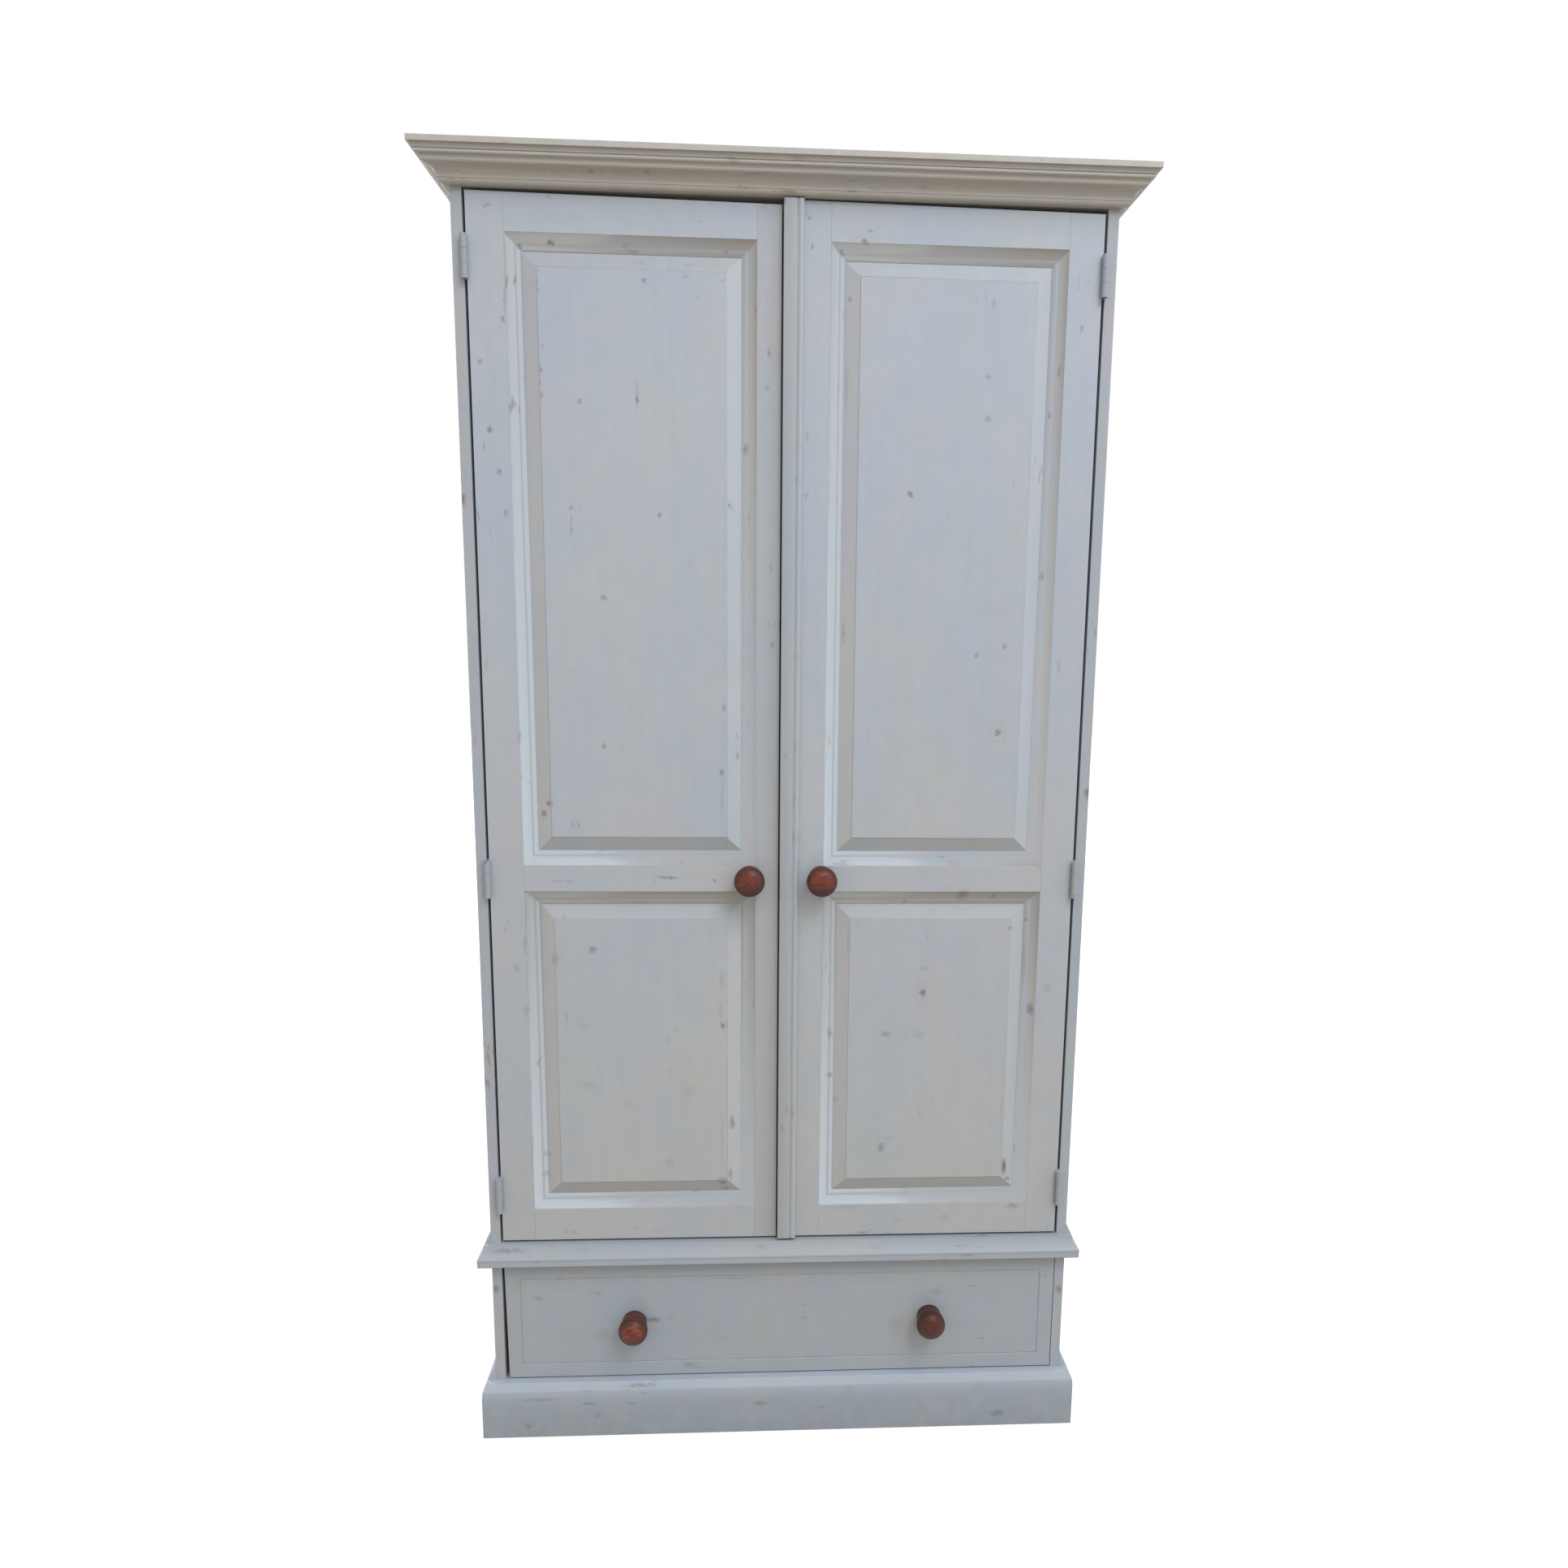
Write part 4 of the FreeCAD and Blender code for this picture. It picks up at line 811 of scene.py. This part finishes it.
def hinge_metal(name, shown):
    """Steel that was painted over with the doors, and shows through where it rubs."""
    shade = Shade(name)
    main, bluish, pinkish, _ = PAINT["painted_steel"]
    clouds = shade.noise(shade.stretched((60.0, 60.0, 40.0)), detail=4.0)
    drips = shade.noise(shade.stretched((400.0, 400.0, 60.0)), detail=3.0)
    colour = shade.mix(shade.spread(clouds, 0.35, 0.65), main, bluish)
    colour = shade.mix(shade.spread(drips, 0.5, 0.75, 0.0, 0.6), colour, pinkish)
    chipped = shade.spread(shade.plus(clouds, shade.times(drips, 0.3)), 0.84 - shown, 0.87 - shown)
    colour = shade.mix(chipped, colour, STEEL)
    shade.feed(shade.surface.inputs["Metallic"], shade.times(chipped, 0.9))
    rough = shade.spread(drips, 0.3, 0.7, 0.5, 0.6)
    normal = shade.bump(shade.minus(shade.times(drips, 0.4), chipped), METAL_RELIEF, 0.7)
    return shade.finish(colour, rough, normal)


for side in SIDES:
    for member, shown in (("side_leaves", LEAF_SHOWN), ("door_leaves", LEAF_SHOWN), ("pins", PIN_SHOWN)):
        name = "%s_hinge_%s" % (side, member)
        assign(name, hinge_metal(name + "_metal", shown))


# New pieces

def linked(thing):
    bpy.context.scene.collection.objects.link(thing)
    return thing


def piece_of(name, made):
    """A piece with the mesh that was built, which is freed."""
    mesh = bpy.data.meshes.new(name)
    made.to_mesh(mesh)
    made.free()
    return linked(bpy.data.objects.new(name, mesh))


def bridge(made, first, second):
    """Faces between two rings of points, or between a ring and a tip."""
    for step in range(len(first)):
        after = (step + 1) % len(first)
        ends = (second[0],) if len(second) == 1 else (second[after], second[step])
        made.faces.new((first[step], first[after]) + ends)


# Turned knobs

KNOB_STEPS = 72
KNOB_PROJECTION = 45
# a knob hangs turned by up to so many degrees
KNOB_TURN = 35
KNOB_RELIEF = 0.00012
KNOB_FACE = (
    # distance out of the face, radius, both in millimetres
    (-0.6, 19.7), (0.3, 20.1), (1.2, 20.3), (2.4, 20.3), (4.0, 20.1), (6.2, 20.0), (8.4, 20.2),
    (10.8, 20.6), (13.4, 21.2), (16.2, 22.0), (19.2, 22.8), (22.4, 23.5), (25.6, 23.9),
    (28.4, 23.98), (31.0, 23.7), (33.4, 22.9), (35.5, 21.7), (37.2, 20.3), (38.5, 19.0),
    (39.1, 18.2), (39.4, 17.7), (40.4, 16.7), (41.9, 14.3), (43.1, 11.5), (43.9, 8.8),
    (44.4, 6.4), (44.5, 5.6), (44.3, 4.7), (44.6, 3.8), (44.9, 2.2), (45.0, 0.0),
)
# where the knob is darker, in metres: the groove's radius and half its width, from and to which
# radius the shoulder darkens, the same for the centre mark, and along Y behind the head; the groove
# and the centre mark hold dirt, the shoulder is darker partly with dirt and partly as painted shade,
# and behind the head is painted shade
GROOVE, GROOVE_WIDTH = 0.018, 0.0018
SHOULDER = (0.0145, 0.0218)
CENTRE = (0.0026, 0.0066)
BEHIND = (-0.036, -0.028)


def turned(name, outline):
    """A piece turned from an outline of (distance out, radius), standing out along -Y."""
    made = bmesh.new()
    rings = []
    for out, radius in outline:
        ring = []
        for step in range(KNOB_STEPS if radius else 1):
            turn = math.tau * step / KNOB_STEPS
            ring.append(made.verts.new((radius * MILLIMETRE * math.cos(turn), -out * MILLIMETRE,
                                        radius * MILLIMETRE * math.sin(turn))))
        rings.append(ring)
    for first, second in zip(rings, rings[1:]):
        bridge(made, first, second)
    for face in made.faces:
        face.smooth = True
    bmesh.ops.recalc_face_normals(made, faces=made.faces)
    return piece_of(name, made)


def knob_wood(name, glow, dark, seed):
    """Stained and lacquered hardwood, turned across its grain."""
    shade = Shade(name)
    rings = shade.noise(shade.stretched((55.0, 160.0, 420.0), (seed, 0, seed)), detail=4.0, distortion=0.5)
    pores = shade.noise(shade.stretched((160.0, 900.0, 1500.0), (0, seed, 0)), detail=3.0)
    away = shade.hypotenuse(shade.x, shade.z)
    colour = shade.mix(shade.spread(rings, 0.35, 0.75, dark - 0.45, dark), KNOB_MAIN, KNOB_DARK)
    colour = shade.mix(shade.spread(pores, 0.55, 0.75, 0.0, 0.3), colour, KNOB_DARK)
    colour = shade.mix(shade.spread(rings, 0.55, 0.3, 0.0, glow), colour, KNOB_LIGHT)
    grime_and_shade = shade.spread(shade.maths("ABSOLUTE", shade.minus(away, GROOVE)), 0.0, GROOVE_WIDTH, 0.5, 0.0)
    # painted shade on the underside
    under = shade.spread(shade.upward, 0.0, -0.4, 0.0, 0.95)
    for place in (shade.spread(away, *SHOULDER, 0.0, 0.78), shade.spread(away, *CENTRE, 0.4, 0.0),
                  shade.spread(shade.y, *BEHIND, 0.0, 0.45), under):
        grime_and_shade = shade.most(grime_and_shade, place)
    colour = shade.mix(grime_and_shade, colour, KNOB_GRIME_AND_SHADE)
    rough = shade.spread(rings, 0.3, 0.7, 0.36, 0.48)
    shade.feed(shade.surface.inputs["Specular IOR Level"], 0.26)
    shade.feed(shade.surface.inputs["Coat Weight"], 0.06)
    shade.feed(shade.surface.inputs["Coat Roughness"], 0.3)
    return shade.finish(colour, rough, shade.bump(shade.plus(rings, pores), KNOB_RELIEF, 0.5))


for name, body, glow, dark in (
        ("left_door_knob", "left_door", 0.25, 0.45), ("right_door_knob", "right_door", 0.5, 0.45),
        ("drawer_knob_left", "drawer", 0.9, 0.45), ("drawer_knob_right", "drawer", 0.0, 0.95)):
    low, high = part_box(name)
    piece = turned("turned_" + name, KNOB_FACE)
    piece.data.materials.append(knob_wood(name + "_wood", glow, dark, round(seed_of(), 2)))
    face = low.y + KNOB_PROJECTION * MILLIMETRE
    piece.location = ((low.x + high.x) / 2, face, (low.z + high.z) / 2)
    piece.rotation_euler = (0, math.radians(seeds.uniform(-KNOB_TURN, KNOB_TURN)), 0)
    rounder = piece.modifiers.new("rounder", "SUBSURF")
    rounder.levels = rounder.render_levels = 1
    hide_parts(name)
    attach(piece, body)


# Screw heads in the hinge leaves, in millimetres

HEAD_STEPS = 36
# radius, and height over the leaf
HEAD_RINGS = ((3.7, -0.3), (3.65, 0.12), (3.4, 0.2))
SLOT_DEPTH = 0.5
HINGE_HEIGHTS = (1862, 958, 430)
SCREW_RISES = (-20, 0, 20)
SCREW_DEPTHS = (-250, -243.5, -250)
# how far from the middle the leaves' faces lie
SIDE_LEAF_REACH = 462.5
DOOR_LEAF_REACH = 461.5


def screw_heads(name, places, outward):
    """Slotted screw heads just proud of a hinge leaf; outward is 1 or -1, along X."""
    made = bmesh.new()
    for x, y, z in places:
        turn = seeds.uniform(0, math.pi)

        def corner(radius, out, step):
            angle = math.tau * step / HEAD_STEPS + turn
            return made.verts.new(Vector((x + outward * out, y + radius * math.cos(angle),
                                          z + radius * math.sin(angle))) * MILLIMETRE)

        rings = [[corner(radius, out, step) for step in range(HEAD_STEPS)] for radius, out in HEAD_RINGS]
        for first, second in zip(rings, rings[1:]):
            bridge(made, first, second)
        # the top, with a slot across it
        top = rings[-1]
        half = HEAD_STEPS // 2
        radius, out = HEAD_RINGS[-1]
        deep = {step: corner(radius, out - SLOT_DEPTH, step) for step in (-1, 1, half - 1, half + 1)}
        made.faces.new(top[1:half])
        made.faces.new(top[half + 1:])
        for one, middle, other in ((-1, 0, 1), (half - 1, half, half + 1)):
            made.faces.new((top[one], top[middle], top[other], deep[other], deep[one]))
        made.faces.new((deep[1], deep[half - 1], deep[half + 1], deep[-1]))
        made.faces.new((top[1], top[half - 1], deep[half - 1], deep[1]))
        made.faces.new((top[half + 1], top[-1], deep[-1], deep[half + 1]))
    bmesh.ops.recalc_face_normals(made, faces=made.faces)
    return piece_of(name, made)


for side, sign in (("left", -1), ("right", 1)):
    for leaf, reach, outward, body in (("side", SIDE_LEAF_REACH, -sign, "carcass"),
                                       ("door", DOOR_LEAF_REACH, sign, side + "_door")):
        places = [(sign * reach, depth, height + rise) for height in HINGE_HEIGHTS
                  for rise, depth in zip(SCREW_RISES, SCREW_DEPTHS)]
        screws = screw_heads("%s_hinge_%s_screws" % (side, leaf), places, outward)
        screws.data.materials.append(hinge_metal(screws.name + "_metal", SCREW_SHOWN))
        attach(screws, body)


# The floor, which isn't part of the wardrobe

FLOOR_RADIUS = 14.0
FLOOR_STEPS = 96
FLOOR_DROP = 0.0005
# the warm tone that a wooden floor throws back on to what stands on it
FLOOR_BOUNCE = (0.30, 0.235, 0.15, 1.0)
# the floor's own white: how far off it begins and is full, and its share under the wardrobe
GLOW_REACH = (1.2, 3.6)
GLOW_LEAST = 0.74


def white_floor():
    """A floor that lights the wardrobe as a wooden one does; the camera sees it white, but for the shadow."""
    shade = Shade("floor_white")
    grain = shade.noise(shade.stretched((40.0, 40.0, 40.0)), detail=3.0)
    tone = shade.spread(grain, 0.3, 0.7, 0.33, 0.35)
    path = shade.node("ShaderNodeLightPath").outputs
    seen_by = shade.most(shade.most(path["Is Camera Ray"], path["Is Glossy Ray"]), path["Is Transmission Ray"])
    shade.finish(shade.mix(seen_by, FLOOR_BOUNCE, shade.join(tone, tone, tone)), 0.9)
    away = shade.node("ShaderNodeVectorMath", {0: shade.place}, operation="LENGTH").outputs["Value"]
    strength = shade.times(seen_by, shade.spread(away, *GLOW_REACH, GLOW_LEAST, 1.0))
    glow = shade.node("ShaderNodeEmission", {"Color": (1, 1, 1, 1), "Strength": strength})
    both = shade.node("ShaderNodeAddShader")
    shade.tree.links.new(shade.surface.outputs[0], both.inputs[0])
    shade.tree.links.new(glow.outputs[0], both.inputs[1])
    output = [n for n in shade.tree.nodes if n.type == "OUTPUT_MATERIAL"][0]
    shade.tree.links.new(both.outputs[0], output.inputs["Surface"])
    return shade.material


ground = bmesh.new()
bmesh.ops.create_circle(ground, cap_ends=True, segments=FLOOR_STEPS, radius=FLOOR_RADIUS)
floor = piece_of("floor", ground)
floor.location = (0, 0, -FLOOR_DROP)
floor.data.materials.append(white_floor())


# Light: a soft window high on the right, and an even surround

LIT_POINT = (0, 0, 1.0)


def soft_lamp(name, place, size, energy, colour):
    """A square lamp that shines on the middle of the wardrobe."""
    light = bpy.data.lights.new(name, "AREA")
    light.shape = "RECTANGLE"
    light.size = light.size_y = size
    light.energy = energy
    light.color = colour
    lamp = linked(bpy.data.objects.new(name, light))
    lamp.location = place
    lamp.rotation_euler = (Vector(LIT_POINT) - Vector(place)).to_track_quat("-Z", "Y").to_euler()


soft_lamp("key_lamp", (1.8, -3.4, 5.2), size=2.4, energy=135, colour=(0.97, 0.985, 1.0))
soft_lamp("back_lamp", (-2.6, 3.6, 3.2), size=2.6, energy=60, colour=(1.0, 1.0, 1.0))

# the surround is bright and cool above and to the right, dimmer and warm to the left
BRIGHT_SIDE = (0.45, -0.05, 0.89)
BRIGHT_FROM, BRIGHT_TO = -0.2, 0.95
WARM_COLOUR, WARM_STRENGTH = (1.0, 0.85, 0.74, 1), 0.66
COOL_COLOUR, COOL_STRENGTH = (0.92, 0.975, 1.0, 1), 1.38
WHITE_COLOUR, WHITE_STRENGTH = (1, 1, 1, 1), 1.0
world = bpy.data.worlds.new("surround")
bpy.context.scene.world = world
world.use_nodes = True
world.node_tree.nodes.clear()


def grow(kind, *inputs, **settings):
    """A node of the surround, with its first inputs linked or set."""
    made = world.node_tree.nodes.new(kind)
    for name, setting in settings.items():
        setattr(made, name, setting)
    for socket, value in zip(made.inputs, inputs):
        if isinstance(value, bpy.types.NodeSocket):
            world.node_tree.links.new(value, socket)
        else:
            socket.default_value = value
    return made.outputs


# the camera, gloss and glass see plain white, and everything else the light of the surround
path = grow("ShaderNodeLightPath")
direct = path["Is Camera Ray"]
for other in ("Is Glossy Ray", "Is Transmission Ray"):
    direct = grow("ShaderNodeMath", direct, path[other], operation="MAXIMUM")[0]
direction = grow("ShaderNodeTexCoord")["Generated"]
facing = grow("ShaderNodeVectorMath", direction, BRIGHT_SIDE, operation="DOT_PRODUCT")["Value"]
bright = grow("ShaderNodeMapRange", facing, BRIGHT_FROM, BRIGHT_TO, clamp=True)[0]
warm, cool, white = [grow("ShaderNodeBackground", colour, strength)[0] for colour, strength in (
    (WARM_COLOUR, WARM_STRENGTH), (COOL_COLOUR, COOL_STRENGTH), (WHITE_COLOUR, WHITE_STRENGTH))]
lit = grow("ShaderNodeMixShader", bright, warm, cool)[0]
grow("ShaderNodeOutputWorld", grow("ShaderNodeMixShader", direct, lit, white)[0])


# The camera, fitted to the photograph's perspective

YAW, PITCH, ROLL = -0.057829, 0.170836, 0.013272
CAMERA_PLACE = (-0.0417, -2.0270, 1.3434)
SENSOR_WIDTH = 36.0
LENS = 26.285
SHIFT = (-0.0256, 0.0289)
NEAREST, FARTHEST = 0.05, 60.0

turn_yaw = Matrix.Rotation(-YAW, 3, "Z")
look_level = Matrix(((1, 0, 0), (0, 0, -1), (0, 1, 0)))
turn_pitch = Matrix.Rotation(PITCH, 3, "X")
turn_roll = Matrix.Rotation(ROLL, 3, "Z")
right, down, ahead = turn_roll @ turn_pitch @ look_level @ turn_yaw
camera_data = bpy.data.cameras.new("camera")
camera_data.sensor_width = SENSOR_WIDTH
camera_data.lens = LENS
camera_data.shift_x, camera_data.shift_y = SHIFT
camera_data.clip_start = NEAREST
camera_data.clip_end = FARTHEST
camera = linked(bpy.data.objects.new("camera", camera_data))
camera.matrix_world = Matrix.Translation(CAMERA_PLACE) @ Matrix((right, -down, -ahead)).transposed().to_4x4()
bpy.context.scene.camera = camera
bpy.context.scene.view_settings.view_transform = "Standard"
